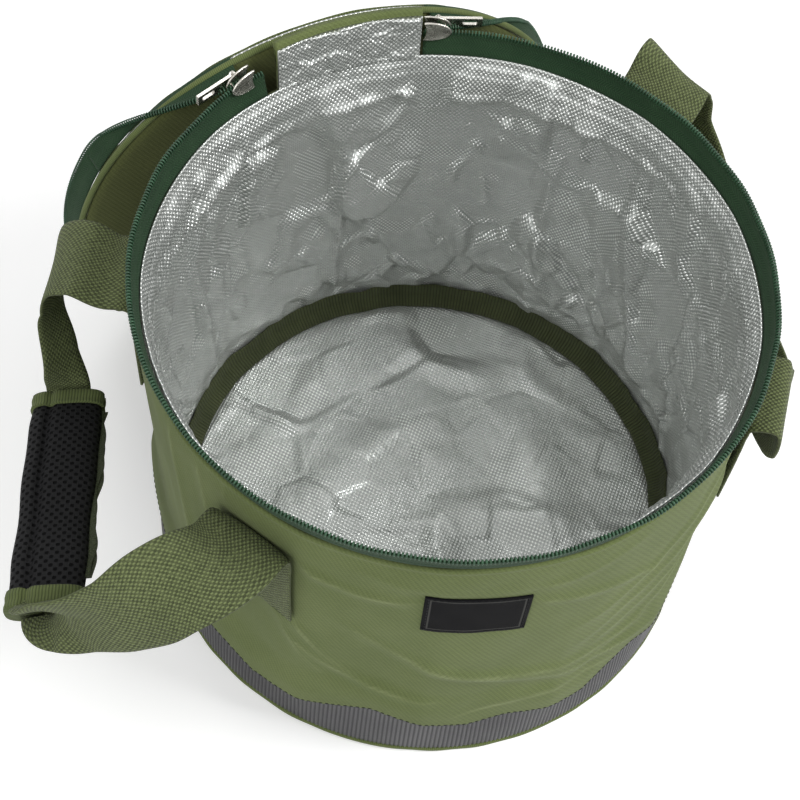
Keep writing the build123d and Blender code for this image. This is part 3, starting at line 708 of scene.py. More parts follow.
def lining_relief(azimuth, z):
    """How far the lining stands into the bucket, in millimetres."""
    loose = smooth(12, 34, z) * (1 - smooth(WALL_TOP - 22, WALL_TOP - 6, z))
    creases = ridge_field(azimuth, z, LINING_CREASES)
    around_wall = np.radians(azimuth % 360) * RIM
    rough = crumple(around_wall, z, 31, 2 * pi * RIM)
    soft = 1.6 * ripple(azimuth, z, 33, 60, 90)
    pucker = 0.45 * ripple(azimuth, 0, 34, 11, 300) * smooth(WALL_TOP - 26, WALL_TOP - 12, z)
    held = 1 - smooth(WALL_TOP - 5, WALL_TOP, z)
    seams = 0
    for drop in LINING_ROWS:
        seams = seams + 0.8 * np.exp(-(((z - WALL_TOP + drop) / 1.1) ** 2))
    relief = 1.7 + (creases + rough + soft) * loose + (pucker + 0.35 * rough * (1 - loose)) * held - seams
    return np.clip(relief, 0.15, 9) * (0.25 + 0.75 * held)


def lining_seat(z):
    """Radius of the lining's outer face: on the foam, and out to the zip tape's foot at the top."""
    return sheet_radius(z) - CLOTH - FOAM - 2 * LAYER + 2.3 * smooth(WALL_TOP - 10, WALL_TOP + 0.6, z)


def lining_piece():
    top = WALL_TOP + 1.6

    def level(azimuth, share):
        return FLOOR_TOP + (top - FLOOR_TOP) * share

    def front(azimuth, share):
        z = level(azimuth, share)
        radius = lining_seat(z) + out_of_round(azimuth, z) - LINING - lining_relief(azimuth, z)
        return radius, z + 0.3 * ripple(azimuth, 0, 35, 9, 300) * smooth(top - 5, top, z), {}

    def back(azimuth, share):
        z = level(azimuth, share)
        return lining_seat(z) + out_of_round(azimuth, z) - 0.35 * smooth(top - 4, top, z), z, {}

    made = ring_shell("wall_foil_lining", front, back, 132, 6, 700, FOIL)
    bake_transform(made)
    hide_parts("wall_lining")
    return made


def disc_points(radius, rings, columns, centre_share=0.0):
    """Radii and azimuths of a disc's grid, denser at the edge."""
    share = np.linspace(centre_share, 1, rings)[:, None] ** 0.8
    azimuth = np.linspace(-180, 180, columns, endpoint=False)[None, :]
    return share * radius, np.broadcast_to(azimuth, (rings, columns))


def planar_uv(points, closed):
    """Plan view of a grid as its UV, in millimetres."""
    if closed:
        points = np.concatenate([points, points[:, :1]], 1)
    return points[..., :2]


FLOOR_WRINKLES = (
    # start, pull and end in plan millimetres, width, height
    ((-30, -104), (-18, -50), (6, -12), 9.0, 3.2),
    ((6, -12), (50, -34), (96, -62), 10.0, 2.8),
    ((-104, -10), (-50, 26), (20, 44), 13.0, 2.6),
    ((44, -70), (70, -20), (60, 30), 14.0, 3.0),
    ((20, 96), (34, 60), (66, 54), 8.0, 2.4),
    ((-92, 46), (-48, 60), (-10, 100), 10.0, 2.0),
    ((96, 20), (72, 40), (84, 66), 7.0, 2.0),
    ((-80, -70), (-40, -60), (-16, -20), 11.0, 1.8),
)


def plan_ridges(x, y, ridges):
    """Height of soft wrinkles on a flat sheet."""
    height = np.zeros(x.shape)
    t = np.linspace(0, 1, 41)
    for (x0, y0), (x1, y1), (x2, y2), width, tall in ridges:
        cx = (1 - t) ** 2 * x0 + 2 * t * (1 - t) * x1 + t * t * x2
        cy = (1 - t) ** 2 * y0 + 2 * t * (1 - t) * y1 + t * t * y2
        distance = (x[..., None] - cx) ** 2 + (y[..., None] - cy) ** 2
        taper = np.sin(pi * np.clip(t * 0.9 + 0.05, 0, 1)) ** 0.7
        height += tall * (np.exp(-distance / width ** 2) * taper).max(-1)
    return height


def floor_piece():
    radius = sheet_radius(FLOOR_TOP) - CLOTH - FOAM - LINING - 1.0
    rings = 110
    r, azimuth = disc_points(radius, rings, 420, 0.003)
    top = around(r, azimuth, 0)
    x, y = top[..., 0], top[..., 1]
    held = 1 - smooth(radius - 16, radius - 4, np.hypot(x, y))
    pucker = 0.7 * ripple(azimuth, r * 0, 41, 16, 300) * smooth(radius - 34, radius - 12, r) * held
    rough = facets(x, y, 42, 58, 0.08, 1.0) + facets(x, y, 43, 26, 0.06, 1.0) + facets(x, y, 44, 9, 0.03, 1.0)
    relief = (1.25 * plan_ridges(x, y, FLOOR_WRINKLES) + rough + 1.2) * held + pucker
    top[..., 2] = FLOOR_TOP + np.clip(relief, 0, 8)
    under = around(r[::-12], azimuth[::-12], FLOOR_TOP - 0.65)
    points = np.concatenate([top, under])
    points[0], points[-1] = points[0].mean(0), points[-1].mean(0)
    made = weld(lattice("floor_foil_lining", points, planar_uv(points, True), FOIL, (False, True)))
    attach(made, "base")
    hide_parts("floor_lining")
    side = 2 * radius * MM
    pi * (radius * MM) ** 2
    return made


def tape_ring(name, section, columns, material, waver=None, span=None, unit_radius=RIM, place=None):
    """A band of closed section round the axis. section lists (radius, height); waver(azimuth, radius,
    height) gives shifts of both, and place moves the finished points."""
    full = span is None
    azimuth = np.linspace(-180, 180, columns, endpoint=False) if full else np.linspace(span[0], span[1], columns)
    section = np.asarray(section, float)
    r = np.repeat(section[:, :1], columns, 1)
    z = np.repeat(section[:, 1:], columns, 1)
    grid = np.broadcast_to(azimuth, r.shape)
    if waver:
        dr, dz = waver(grid, r, z)
        r, z = r + dr, z + dz
    points = around(r, grid, z)
    along = np.radians(azimuth) * unit_radius
    up = running(points[:, :1], 0, True)
    if full:
        along = np.append(along, pi * unit_radius)
    else:
        points = capped(points, 1)
        along = run_values(along)
    uv = np.stack(np.broadcast_arrays(along[None, :], up), -1)
    if place:
        points = place(points)
    return lattice(name, points, uv, material, (True, full))


def rounded(points, steps=4, tightness=0.28):
    """A closed outline with its corners rounded by short curves."""
    points = np.asarray(points, float)
    found = []
    for before, corner, after in zip(np.roll(points, 1, 0), points, np.roll(points, -1, 0)):
        first = corner + (before - corner) * tightness
        last = corner + (after - corner) * tightness
        t = np.linspace(0, 1, steps)[:, None]
        found.append((1 - t) ** 2 * first + 2 * t * (1 - t) * corner + t * t * last)
    return np.concatenate(found)


def floor_binding_piece():
    """Grosgrain tape lying in the corner of floor and wall, a little wavy."""
    wall = sheet_radius(12) - CLOTH - FOAM - LINING - 1.0
    low = FLOOR_TOP + 0.4
    section = rounded(
        [(wall - 8.5, low), (wall - 4.0, low), (wall - 0.6, low + 4.5), (wall - 0.2, low + 10.5),
         (wall - 1.6, low + 11.0), (wall - 3.4, low + 5.6), (wall - 8.8, low + 2.0)], 4)

    def waver(azimuth, r, z):
        lift = (z - low) / 11
        slack = 0.9 * ripple(azimuth, 0, 51, 34, 300) + 0.3 * ripple(azimuth, 0, 52, 12, 300)
        out = np.minimum(slack * (0.4 + lift) - 0.6, 0.2)
        return out, np.maximum(0.8 * ripple(azimuth, 0, 53, 40, 300) * lift, -0.2)

    made = tape_ring("floor_seam_binding", section, 560, GROSGRAIN_DARK, waver, None, 122)
    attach(made, "base")
    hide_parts("floor_binding")
    return made


RIB_PITCH = 2.05
COLUMNS_PER_RIB = 5


def band_edge(azimuth):
    """Height of the band's wavy sewn edge."""
    return BAND_TOP - 1.0 + 1.1 * ripple(azimuth, 0, 61, 150, 400)


def band_piece():
    """Ribbed band: one round rib every two millimetres."""
    ribs = round(2 * pi * (BASE + 1) / RIB_PITCH)
    columns = ribs * COLUMNS_PER_RIB
    phase = 2 * pi * ribs / 360

    def front(azimuth, share):
        z = BAND_BOTTOM + (band_edge(azimuth) - BAND_BOTTOM) * share
        rib = np.abs(np.cos(azimuth * phase / 2))
        lean = 0.5 + 0.35 * ripple(azimuth, z, 62, 120, 200)
        top = smooth(0.93, 1.0, share)
        seat = sheet_radius(z) + out_of_round(azimuth, z) + 0.35
        radius = seat + 0.62 * rib * (1 - 0.5 * top) + lean * share * 0.6
        edge = fold_edge(azimuth)
        # The band's strip under the cloth's fold is tucked in, and through valley it gets the fold's painted shadow.
        sewn = smooth(edge - 2.6, edge - 2.0, z)
        return radius - 0.3 * sewn, z, {"valley": np.maximum((1 - rib) ** 1.6, 0.9 * sewn)}

    def back(azimuth, share):
        z = BAND_BOTTOM + (band_edge(azimuth) - BAND_BOTTOM) * share
        return sheet_radius(z) + out_of_round(azimuth, z) + 0.05, z, {}

    made = ring_shell("ribbed_foot_band", front, back, 40, 2, columns, BAND_GREY, BASE)
    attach(made, "base")
    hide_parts("lower_band")
    return made


def base_piping_piece():
    """Cord piping in a cloth sleeve, built as a round tube; its seam flange under the wall's edge is not modelled.
    """
    centre = (BASE - 0.2, 1.5)
    turn = np.linspace(0, 2 * pi, 14, endpoint=False)
    section = [(centre[0] + 1.4 * cos(a), centre[1] + 1.4 * sin(a)) for a in turn]

    def waver(azimuth, r, z):
        swell = 0.16 * ripple(azimuth, 0, 71, 22, 300)
        return swell * (r - centre[0]), 0 * z

    made = tape_ring("bottom_piping", section, 480, PIPING_OLIVE, waver, None, BASE)
    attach(made, "base")
    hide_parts("base_piping")
    return made


CHAIN = (90 + TAB_HALF_ANGLE + 0.3, 450 - TAB_HALF_ANGLE - 0.3)


def rim_wander(azimuth, free):
    """How far the rim's zip strays sideways and upwards."""
    return 0.5 * ripple(azimuth, 0, 81, 46, 300) * free, 0.35 * ripple(azimuth, 0, 82, 60, 300) * free


def rim_tape_piece():
    """Leaning zip tape with a cord edge under the coil and a sewn foot."""
    lean = tan(radians(TAPE_LEAN))

    def at(drop, side):
        return (RIM - drop * lean + side, TEETH - drop)

    section = rounded(
        [at(11.4, -0.5), at(11.4, 0.55), at(8.2, 0.5), at(7.6, 0.32), at(2.4, 0.32), at(1.6, 0.62), at(0.2, 0.5),
         at(0.2, -0.5), at(1.6, -0.62), at(2.4, -0.32), at(7.6, -0.32), at(8.2, -0.5)], 3)

    def waver(azimuth, r, z):
        return rim_wander(azimuth, (z - WALL_TOP) / TAPE_HEIGHT)

    made = weld(tape_ring("rim_tape", section, 420, ZIP_TAPE, waver, CHAIN))
    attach(made, "rim")
    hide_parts("rim_zip_tape")
    return made


def repeat_along(name, paths, across, spacing, template, material, closed=False):
    """Copies of a small mesh at even spacing along paths, in one plain mesh, by Geometry Nodes.
    across gives for each path point the direction that the copy's Z takes; its X runs along the path."""
    corners = np.concatenate(paths) * MM
    edges = []
    first = 0
    for path in paths:
        edges += [(first + i, first + i + 1) for i in range(len(path) - 1)]
        if closed:
            edges.append((first + len(path) - 1, first))
        first += len(path)
    mesh = bpy.data.meshes.new(name)
    mesh.from_pydata(corners.tolist(), edges, [])
    field = mesh.attributes.new("across", "FLOAT_VECTOR", "POINT")
    field.data.foreach_set("vector", np.concatenate(across).astype(np.float32).ravel())
    made = bpy.data.objects.new(name, mesh)
    bpy.context.scene.collection.objects.link(made)

    tree = bpy.data.node_groups.new(name + "_along", "GeometryNodeTree")
    face = tree.interface
    face.new_socket("Path", in_out="INPUT", socket_type="NodeSocketGeometry")
    face.new_socket("Template", in_out="INPUT", socket_type="NodeSocketObject")
    face.new_socket("Spacing", in_out="INPUT", socket_type="NodeSocketFloat")
    face.new_socket("Finish", in_out="INPUT", socket_type="NodeSocketMaterial")
    face.new_socket("Copies", in_out="OUTPUT", socket_type="NodeSocketGeometry")

    def node(kind, settings=None, **links):
        new = tree.nodes.new(kind)
        for key, value in (settings or {}).items():
            setattr(new, key, value)
        for key, value in links.items():
            socket = new.inputs[key.replace("_", " ")]
            if isinstance(value, bpy.types.NodeSocket):
                tree.links.new(value, socket)
            else:
                socket.default_value = value
        return new

    given = tree.nodes.new("NodeGroupInput").outputs
    curve = node("GeometryNodeMeshToCurve", Mesh=given["Path"]).outputs["Curve"]
    spaced = node("GeometryNodeResampleCurve", {"mode": "LENGTH"}, Curve=curve, Length=given["Spacing"])
    tangent = node("GeometryNodeInputTangent").outputs["Tangent"]
    facing = node("GeometryNodeInputNamedAttribute", {"data_type": "FLOAT_VECTOR"}, Name="across")
    facing = facing.outputs["Attribute"]
    turn = node(
        "FunctionNodeAxesToRotation",
        {"primary_axis": "X", "secondary_axis": "Z"},
        Primary_Axis=tangent,
        Secondary_Axis=facing,
    )
    shape = node("GeometryNodeObjectInfo", Object=given["Template"]).outputs["Geometry"]
    copies = node(
        "GeometryNodeInstanceOnPoints",
        Points=spaced.outputs["Curve"],
        Instance=shape,
        Rotation=turn.outputs["Rotation"],
    )
    whole = node("GeometryNodeRealizeInstances", Geometry=copies.outputs["Instances"])
    finished = node("GeometryNodeSetMaterial", Geometry=whole.outputs["Geometry"], Material=given["Finish"])
    out = tree.nodes.new("NodeGroupOutput")
    tree.links.new(finished.outputs["Geometry"], out.inputs["Copies"])

    modifier = made.modifiers.new("copies", "NODES")
    modifier.node_group = tree
    ids = {item.name: item.identifier for item in face.items_tree if item.in_out == "INPUT"}
    modifier[ids["Template"]] = template
    modifier[ids["Spacing"]] = spacing * MM
    modifier[ids["Finish"]] = material
    bpy.context.view_layer.update()
    result = bpy.data.meshes.new_from_object(made.evaluated_get(bpy.context.evaluated_depsgraph_get()))
    made.modifiers.clear()
    made.data = result
    if not result.materials:
        result.materials.append(material)
    bpy.data.node_groups.remove(tree)
    return made


def template_from(name, points, closed_first):
    """A small closed mesh, out of sight, that Geometry Nodes copy."""
    uv = np.zeros((points.shape[0] + closed_first, points.shape[1] + 1, 2))
    made = lattice(name, points, uv, ZIP_COIL, (closed_first, True))
    made.hide_render = True
    bpy.context.scene.collection.objects.unlink(made)
    return made


def capsule(name, length, width, height):
    """A stitch: a short rounded bar lying along X."""
    t = np.linspace(0, pi, 7)
    a = np.linspace(0, 2 * pi, 6, endpoint=False)
    x = -np.cos(t) * length / 2
    thick = np.maximum(np.sin(t), 0.02) ** 0.55
    points = np.stack(
        np.broadcast_arrays(
            x[:, None], np.cos(a)[None, :] * thick[:, None] * width / 2, np.sin(a)[None, :] * thick[:, None] * height / 2
        ),
        -1,
    )
    return template_from(name, points, False)


def coil_turn(name, reach, height, wire):
    """One turn of a zip coil: a flattened loop of wire across the tape edge, with its coupling head."""
    a = np.linspace(0, 2 * pi, 12, endpoint=False)
    b = np.linspace(0, 2 * pi, 5, endpoint=False)
    head = 1 + 0.45 * np.exp(-((a - pi / 2) / 0.7) ** 2)
    centre = np.stack([np.zeros_like(a), np.cos(a) * height, np.sin(a) * reach], -1)
    outward = np.stack([np.zeros_like(a), np.cos(a), np.sin(a)], -1)
    ring = np.cos(b)[None, :, None] * outward[:, None] + np.sin(b)[None, :, None] * np.array([1.0, 0, 0])
    points = centre[:, None] + ring * wire * head[:, None, None]
    return template_from(name, points, True)


STITCH = capsule("stitch_shape", 2.3, 0.5, 0.42)
STITCH_SMALL = capsule("small_stitch_shape", 1.7, 0.4, 0.36)
COIL = coil_turn("coil_shape", 1.0, 0.85, 0.36)


def finish_piece(made, body, slot, *nodes):
    """Rides on a body and stands for nodes. slot is not used."""
    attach(made, body)
    if nodes:
        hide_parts(*nodes)
    return made


def rim_coil_piece():
    azimuth = np.linspace(CHAIN[0] + 0.4, CHAIN[1] - 0.4, 360)
    lean = tan(radians(TAPE_LEAN))
    out, up = rim_wander(azimuth, 1.0)
    path = around(RIM + out, azimuth, TEETH + up)
    across = around(lean, azimuth, 1.0)
    made = repeat_along("rim_coil", [path], [across], COIL_PITCH, COIL, ZIP_COIL)
    return finish_piece(made, "rim", "zip_coil", "rim_zip_coil")


def weld(made):
    """Closes poles and collapsed ends into single points."""
    shape = bmesh.new()
    shape.from_mesh(made.data)
    bmesh.ops.remove_doubles(shape, verts=shape.verts, dist=1e-7)
    bmesh.ops.dissolve_degenerate(shape, edges=shape.edges, dist=1e-8)
    shape.to_mesh(made.data)
    shape.free()
    return made


def disc_sheet(name, radius, upper, lower, rings, columns, material, place=None, values=None):
    """A closed round sheet. upper and lower give heights at x, y, radius and azimuth."""
    azimuth = np.linspace(-180, 180, columns, endpoint=False)[None, :]
    out = np.linspace(0, 1, rings)[:, None] ** 0.8 * radius
    back = np.linspace(1, 0, max(rings // 8, 6))[:, None] * radius
    grids = []
    for r, height in ((out, upper), (back, lower)):
        r, a = np.broadcast_arrays(r, azimuth)
        flat = around(r, a, 0)
        flat[..., 2] = height(flat[..., 0], flat[..., 1], r, a)
        grids.append(flat)
    points = np.concatenate(grids)
    uv = planar_uv(points, True)
    named = {}
    for key, field in (values or {}).items():
        named[key] = field(points[..., 0], points[..., 1])
    if place:
        points = place(points)
    return weld(lattice(name, points, uv, material, (False, True), named))


def hang(points):
    """Closed-lid points in the photographed pose: hanging, with the far part softly folded back."""
    p = np.asarray(points, float)
    x, y, z = p[..., 0], p[..., 1], p[..., 2]
    bend = radians(LID_BEND)
    reach = 15.0
    radius = 2 * reach / bend
    past = np.clip(LID_FOLD_Y + reach - y, 0, None)
    turn = np.minimum(past, 2 * reach) / radius
    after = np.clip(past - 2 * reach, 0, None)
    off = z - LID_FOLD_Z
    y1 = LID_FOLD_Y + reach - radius * np.sin(turn) - after * cos(bend) - off * np.sin(turn)
    z1 = LID_FOLD_Z - radius * (1 - np.cos(turn)) - after * sin(bend) + off * np.cos(turn)
    y = np.where(past > 0, y1, y) - LID_HINGE_Y
    z = np.where(past > 0, z1, z) - LID_HINGE_Z
    t = -radians(LID_OPEN)
    level = LID_HINGE_Z + y * sin(t) + z * cos(t)
    level = level + 2.6 * smooth(60, 0, level)
    return np.stack([x, LID_HINGE_Y + y * cos(t) - z * sin(t), level], -1)


LID_LINING_LOW = LID_SEAM + LAYER
LID_FOAM_LOW = LID_LINING_LOW + LINING + LAYER
LID_CLOTH_LOW = LID_FOAM_LOW + 4.0 + LAYER


def crown(r):
    return 3.0 * (1 - (r / LID_RADIUS) ** 2)


def lid_swell(x, y):
    """Soft unevenness of the hanging lid's cloth."""
    waves_in_cloth = np.sin(x / 21 + 1.3 * np.sin(y / 33)) * np.sin(y / 27 + 0.9 * np.sin(x / 38))
    return 0.5 * waves_in_cloth * (1 - smooth(96, 124, np.hypot(x, y)))


def lid_pieces():
    cloth = disc_sheet(
        "lid_cloth",
        LID_RADIUS,
        lambda x, y, r, a: LID_CLOTH_LOW + CLOTH + crown(r) + lid_swell(x, y) - 0.9 * smooth(LID_RADIUS - 3, LID_RADIUS, r),
        lambda x, y, r, a: LID_CLOTH_LOW + crown(r) - 0.1,
        70,
        300,
        CLOTH_LID_SHADED,
        hang,
        {"crest": lambda x, y: np.zeros(x.shape)},
    )
    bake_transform(cloth)
    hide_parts("lid_outer_near", "lid_outer_far")
    reach = LID_RADIUS - 0.6
    foam = disc_sheet(
        "lid_foam_pad",
        reach,
        lambda x, y, r, a: LID_FOAM_LOW + 4.0 + crown(r) - 0.2,
        lambda x, y, r, a: LID_FOAM_LOW + 0.5,
        64,
        280,
        FOAM_WHITE,
        hang,
    )
    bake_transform(foam)
    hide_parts("lid_foam_near", "lid_foam_far")
    foil = disc_sheet(
        "lid_foil_lining",
        reach,
        lambda x, y, r, a: LID_LINING_LOW - np.clip(lid_foil_relief(x, y, r, a), 0, 6),
        lambda x, y, r, a: LID_LINING_LOW + LINING,
        110,
        360,
        FOIL,
        hang,
    )
    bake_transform(foil)
    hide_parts("lid_lining_near", "lid_lining_far")
    for made, wide in ((cloth, LID_RADIUS), (foil, reach)):
        side = 2 * wide * MM
        area = pi * (wide * MM) ** 2
    return cloth, foam, foil


LID_FOIL_WRINKLES = (
    ((-60, 90), (-30, 40), (10, 20), 10.0, 2.2),
    ((10, 20), (40, -10), (90, -30), 11.0, 2.0),
    ((-100, 20), (-60, -20), (-10, -30), 12.0, 2.2),
    ((30, 100), (40, 60), (80, 50), 9.0, 1.8),
    ((-40, -60), (0, -66), (44, -60), 12.0, 2.4),
    ((-80, -74), (-20, -84), (60, -80), 10.0, 2.0),
)


def lid_foil_relief(x, y, r, azimuth):
    held = 1 - smooth(104, 114, r)
    fine = facets(x, y, 92, 40, 0.10, 1.0) + facets(x, y, 93, 16, 0.08, 1.0)
    pucker = 0.5 * ripple(azimuth, 0, 91, 18, 300) * smooth(84, 104, r) * held
    return (plan_ridges(x, y, LID_FOIL_WRINKLES) + fine + 0.4) * held + pucker


def lid_ring(name, section, columns, material, span=None, waver=None, unit_radius=RIM):
    made = tape_ring(name, section, columns, material, waver, span, unit_radius, hang)
    if span:
        weld(made)
    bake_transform(made)
    return made


LEAD_END = 152.0
SLIDER_LEFT = 112.5
SLIDER_RIGHT = 70.2


def lid_tape_section():
    lean = tan(radians(TAPE_LEAN))

    def at(rise, side):
        return (RIM - rise * lean + side, LID_TEETH + rise)

    return rounded(
        [at(11.4, -0.5), at(11.4, 0.5), at(7.8, 0.32), at(2.4, 0.32), at(1.6, 0.6), at(0.2, 0.5),
         at(0.2, -0.5), at(1.6, -0.6), at(2.4, -0.32), at(7.8, -0.32)], 3)


def to_slider(points, azimuth, slider, side):
    """Draws the free run of the lid's tape from the hanging lid across to its slider on the rim."""
    start = np.array(hang(around(RIM, slider, LID_TEETH)))
    goal = around(RIM - 0.4, slider, TEETH + 3.2)
    span = 90 + side * (LEAD_END - 90)
    near = smooth(0, 1, (azimuth - span) / (slider - span)) ** 0.9
    return points + near[..., None] * (goal - start)


def lid_trim_pieces():
    edge = (LID_RADIUS + 1.6, LID_CLOTH_LOW - 0.4)
    turn = np.linspace(0, 2 * pi, 12, endpoint=False)
    section = [(edge[0] + 1.5 * cos(a), edge[1] + 1.5 * sin(a)) for a in turn]
    piping = lid_ring("lid_edge_piping", section, 420, PIPING_OLIVE, None, None, LID_RADIUS)
    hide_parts("lid_piping_near", "lid_piping_far")

    top = LID_SEAM - 0.1
    section = rounded([(116.8, top - 0.8), (117.2, top - 1.5), (124.6, top - 1.5), (126.2, top - 0.9), (126.0, top),
                       (116.8, top)], 4)

    def waver(azimuth, r, z):
        face = z < top - 0.5
        return 0.35 * ripple(azimuth, 0, 95, 30, 300) * face, 0.2 * ripple(azimuth, 0, 96, 22, 300) * face

    binding = lid_ring("lid_seam_binding", section, 480, GROSGRAIN, None, waver, 122)
    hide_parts("lid_binding_near", "lid_binding_far")

    section = lid_tape_section()
    tape = lid_ring("lid_tape", section, 300, ZIP_TAPE, (LEAD_END, 540 - LEAD_END))
    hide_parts("lid_zip_tape_left", "lid_zip_tape_right", "lid_zip_tape_far")

    azimuth = np.linspace(LEAD_END, 540 - LEAD_END, 320)
    path = hang(around(RIM, azimuth, LID_TEETH))
    foot = hang(around(RIM - 3 * tan(radians(TAPE_LEAN)), azimuth, LID_TEETH + 3))
    coil = repeat_along("lid_coil", [path], [path - foot], COIL_PITCH, COIL, ZIP_COIL)
    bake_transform(coil)
    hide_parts("lid_zip_coil_left", "lid_zip_coil_right", "lid_zip_coil_far")

    for name, slider, side in (("left", SLIDER_LEFT, 1), ("right", SLIDER_RIGHT, -1)):
        last = 90 + side * (LEAD_END - 90)
        azimuth = np.linspace(slider, last, 60)
        section = np.asarray(lid_tape_section())
        a, r = np.meshgrid(azimuth, section[:, 0])
        z = np.repeat(section[:, 1:], 60, 1)
        share = (LID_SEAM - z) / (LID_SEAM - LID_TEETH)
        flat = hang(around(r, a, z))
        drawn = flat + (to_slider(flat, a, slider, side) - flat) * np.clip(share, 0, 1.1)[..., None]
        drawn = capped(drawn, 1)
        along = run_values(np.radians(azimuth) * RIM)
        up = np.append(section[:, 1], section[0, 1])[:, None]
        uv = np.stack(np.broadcast_arrays(along[None, :], up), -1)
        lead = weld(lattice("lid_tape_lead_" + name, drawn, uv, ZIP_TAPE, (True, False)))
        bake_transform(lead)
        path = to_slider(hang(around(RIM, azimuth, LID_TEETH)), azimuth, slider, side)
        foot = hang(around(RIM - 3 * tan(radians(TAPE_LEAN)), azimuth, LID_TEETH + 3))
        teeth = repeat_along("lid_coil_lead_" + name, [path], [path - foot], COIL_PITCH, COIL, ZIP_COIL)
        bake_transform(teeth)


SLIDER_OUTLINE = ((0.3, -3.6), (-0.6, -5.2), (2.6, -5.4), (6.6, -4.9), (10.4, -3.4), (13.0, 0.0), (10.4, 3.4), (6.6, 4.9),
                  (2.6, 5.4), (-0.6, 5.2), (0.3, 3.6), (1.1, 0.0))
SLIDER_MIDDLE = 202.85
PLATE = 0.9


def shield(azimuth, side, depth, thickness, swell):
    """A slider plate: a shield with rounded edges, its rounded end away from the hinge tab."""
    outline = rounded(SLIDER_OUTLINE, 4, 0.34)
    outline = outline - np.array([6.5, 0])
    rings = []
    top = 1.0 + swell
    for scale, level in (
        (0.0, 0.0), (0.90, 0.0), (0.98, 0.12), (1.0, 0.4), (0.98, 0.88), (0.88, 1.0), (0.5, top), (0.0, top)
    ):
        along = outline[:, 0] * scale
        up = outline[:, 1] * scale
        rings.append((along, up, np.full(len(along), depth + thickness * level)))
    a = radians(azimuth)
    out = np.array([cos(a), sin(a), 0])
    run = np.array([-sin(a), cos(a), 0]) * side
    points = [
        out * d[:, None] + run * s[:, None] + np.array([0, 0, 1.0]) * (SLIDER_MIDDLE + v[:, None])
        for s, v, d in rings
    ]
    return np.array(points)


def slider_pieces():
    """Nickel sliders: two shield plates, the post between them and the bail that holds the pull."""
    for name, azimuth, side in (("left", SLIDER_LEFT, 1), ("right", SLIDER_RIGHT, -1)):
        parts = []
        for depth, thickness, swell in ((RIM - 1.6, -PLATE, 0.35), (RIM + 1.6, PLATE, 0.2)):
            points = shield(azimuth, side, depth, thickness, swell)
            uv = np.zeros((points.shape[0], points.shape[1] + 1, 2))
            parts.append(weld(lattice("plate", points, uv, NICKEL, (False, True))))
        a = radians(azimuth)
        out = Vector((cos(a), sin(a), 0))
        run = Vector((-sin(a), cos(a), 0)) * side
        bars = (
            (out * (RIM - 1.9) + run * 2.9, out * (RIM + 1.9) + run * 2.9, 0.75, 0.0),
            (out * (RIM + 2.2), out * (RIM + 4.5), 0.7, 3.5),
            (out * (RIM + 2.2), out * (RIM + 4.5), 0.7, -3.5),
        )
        for start, end, radius, rise in bars:
            lift = Vector((0, 0, SLIDER_MIDDLE + rise))
            parts.append(bar(start + lift, end + lift, radius))
        pivot = out * (RIM + 4.4) + Vector((0, 0, SLIDER_MIDDLE))
        parts.append(bar(pivot - Vector((0, 0, 3.9)), pivot + Vector((0, 0, 3.9)), 0.7))
        made = joined("zip_slider_" + name, parts)
        finish_piece(made, "slider_" + name, "nickel", "slider_" + name + "_body")


def bar(start, end, radius):
    """A round bar with softened ends between two points in millimetres."""
    way = (end - start).normalized()
    side = way.orthogonal().normalized()
    up = way.cross(side)
    turn = np.linspace(0, 2 * pi, 12, endpoint=False)
    length = (end - start).length
    rings = []
    for along, scale in ((0, 0), (0, 0.7), (0.25, 1), (length - 0.25, 1), (length, 0.7), (length, 0)):
        rings.append([start + way * along + (side * cos(a) + up * sin(a)) * radius * scale for a in turn])
    points = np.array(rings)
    return weld(lattice("bar", points, np.zeros((6, 13, 2)), NICKEL, (False, True)))


def joined(name, parts):
    """One object from several."""
    shape = bmesh.new()
    for part in parts:
        shape.from_mesh(part.data)
        bpy.data.objects.remove(part)
    mesh = bpy.data.meshes.new(name)
    shape.to_mesh(mesh)
    shape.free()
    mesh.materials.append(NICKEL)
    made = bpy.data.objects.new(name, mesh)
    bpy.context.scene.collection.objects.link(made)
    return made


def hinge_tab_pieces():
    """Cloth tab behind the open side: foil inside, olive cloth with a rolled hem outside."""
    outer = WALL_TOP_RADIUS - 0.5
    top = LID_SEAM - 0.4
    foot = WALL_TOP + 0.1
    span = (90 - TAB_HALF_ANGLE + 0.4, 90 + TAB_HALF_ANGLE - 2.2)

    def cloth(azimuth, share):
        z = foot + (top - foot) * share
        hem = 2.6 * smooth(top - 3.4, top - 2.5, z)
        return outer + hem + 0.25 * ripple(azimuth, z, 101, 16, 14), z, {"crest": 0 * z}

    def cloth_back(azimuth, share):
        return outer - 0.9 + 0 * share, foot + (top - foot) * share, {}

    back = weld(ring_shell("tab_cloth", cloth, cloth_back, 40, 3, 60, CLOTH_OLIVE, RIM, span))
    finish_piece(back, "rim", "olive_cloth", "hinge_tab_outer")

    inner = outer - 0.95

    foil_top = top - 2.0

    def foil_back(azimuth, share):
        return inner + 0 * share, foot + (foil_top - foot) * share, {}

    def foil(azimuth, share):
        z = foot + (foil_top - foot) * share
        s = np.radians(azimuth - 90) * RIM
        edge = np.minimum(azimuth - span[0], span[1] - azimuth) * pi / 180 * RIM
        rough = facets(s, z, 103, 14, 0.14, 0.7) + facets(s, z, 104, 6, 0.12, 0.8)
        pleats = 0.7 * np.sin(s / 3.1 + 1.2 * np.sin(z / 5)) * smooth(2, 8, z - foot) * (1 - smooth(6, 20, z - foot))
        relief = np.clip(0.9 + rough + pleats + 0.7 * ripple(azimuth, z, 104, 22, 24), 0, 2.6)
        relief = relief * smooth(0.2, 2.5, edge) - 0.35 * np.exp(-(((edge - 2.6) / 0.7) ** 2))
        return inner - 0.9 - relief, z, {}

    front = weld(ring_shell("tab_foil", foil, foil_back, 60, 3, 170, FOIL, RIM, span))
    finish_piece(front, "rim", "silver_lining", "hinge_tab_lining")


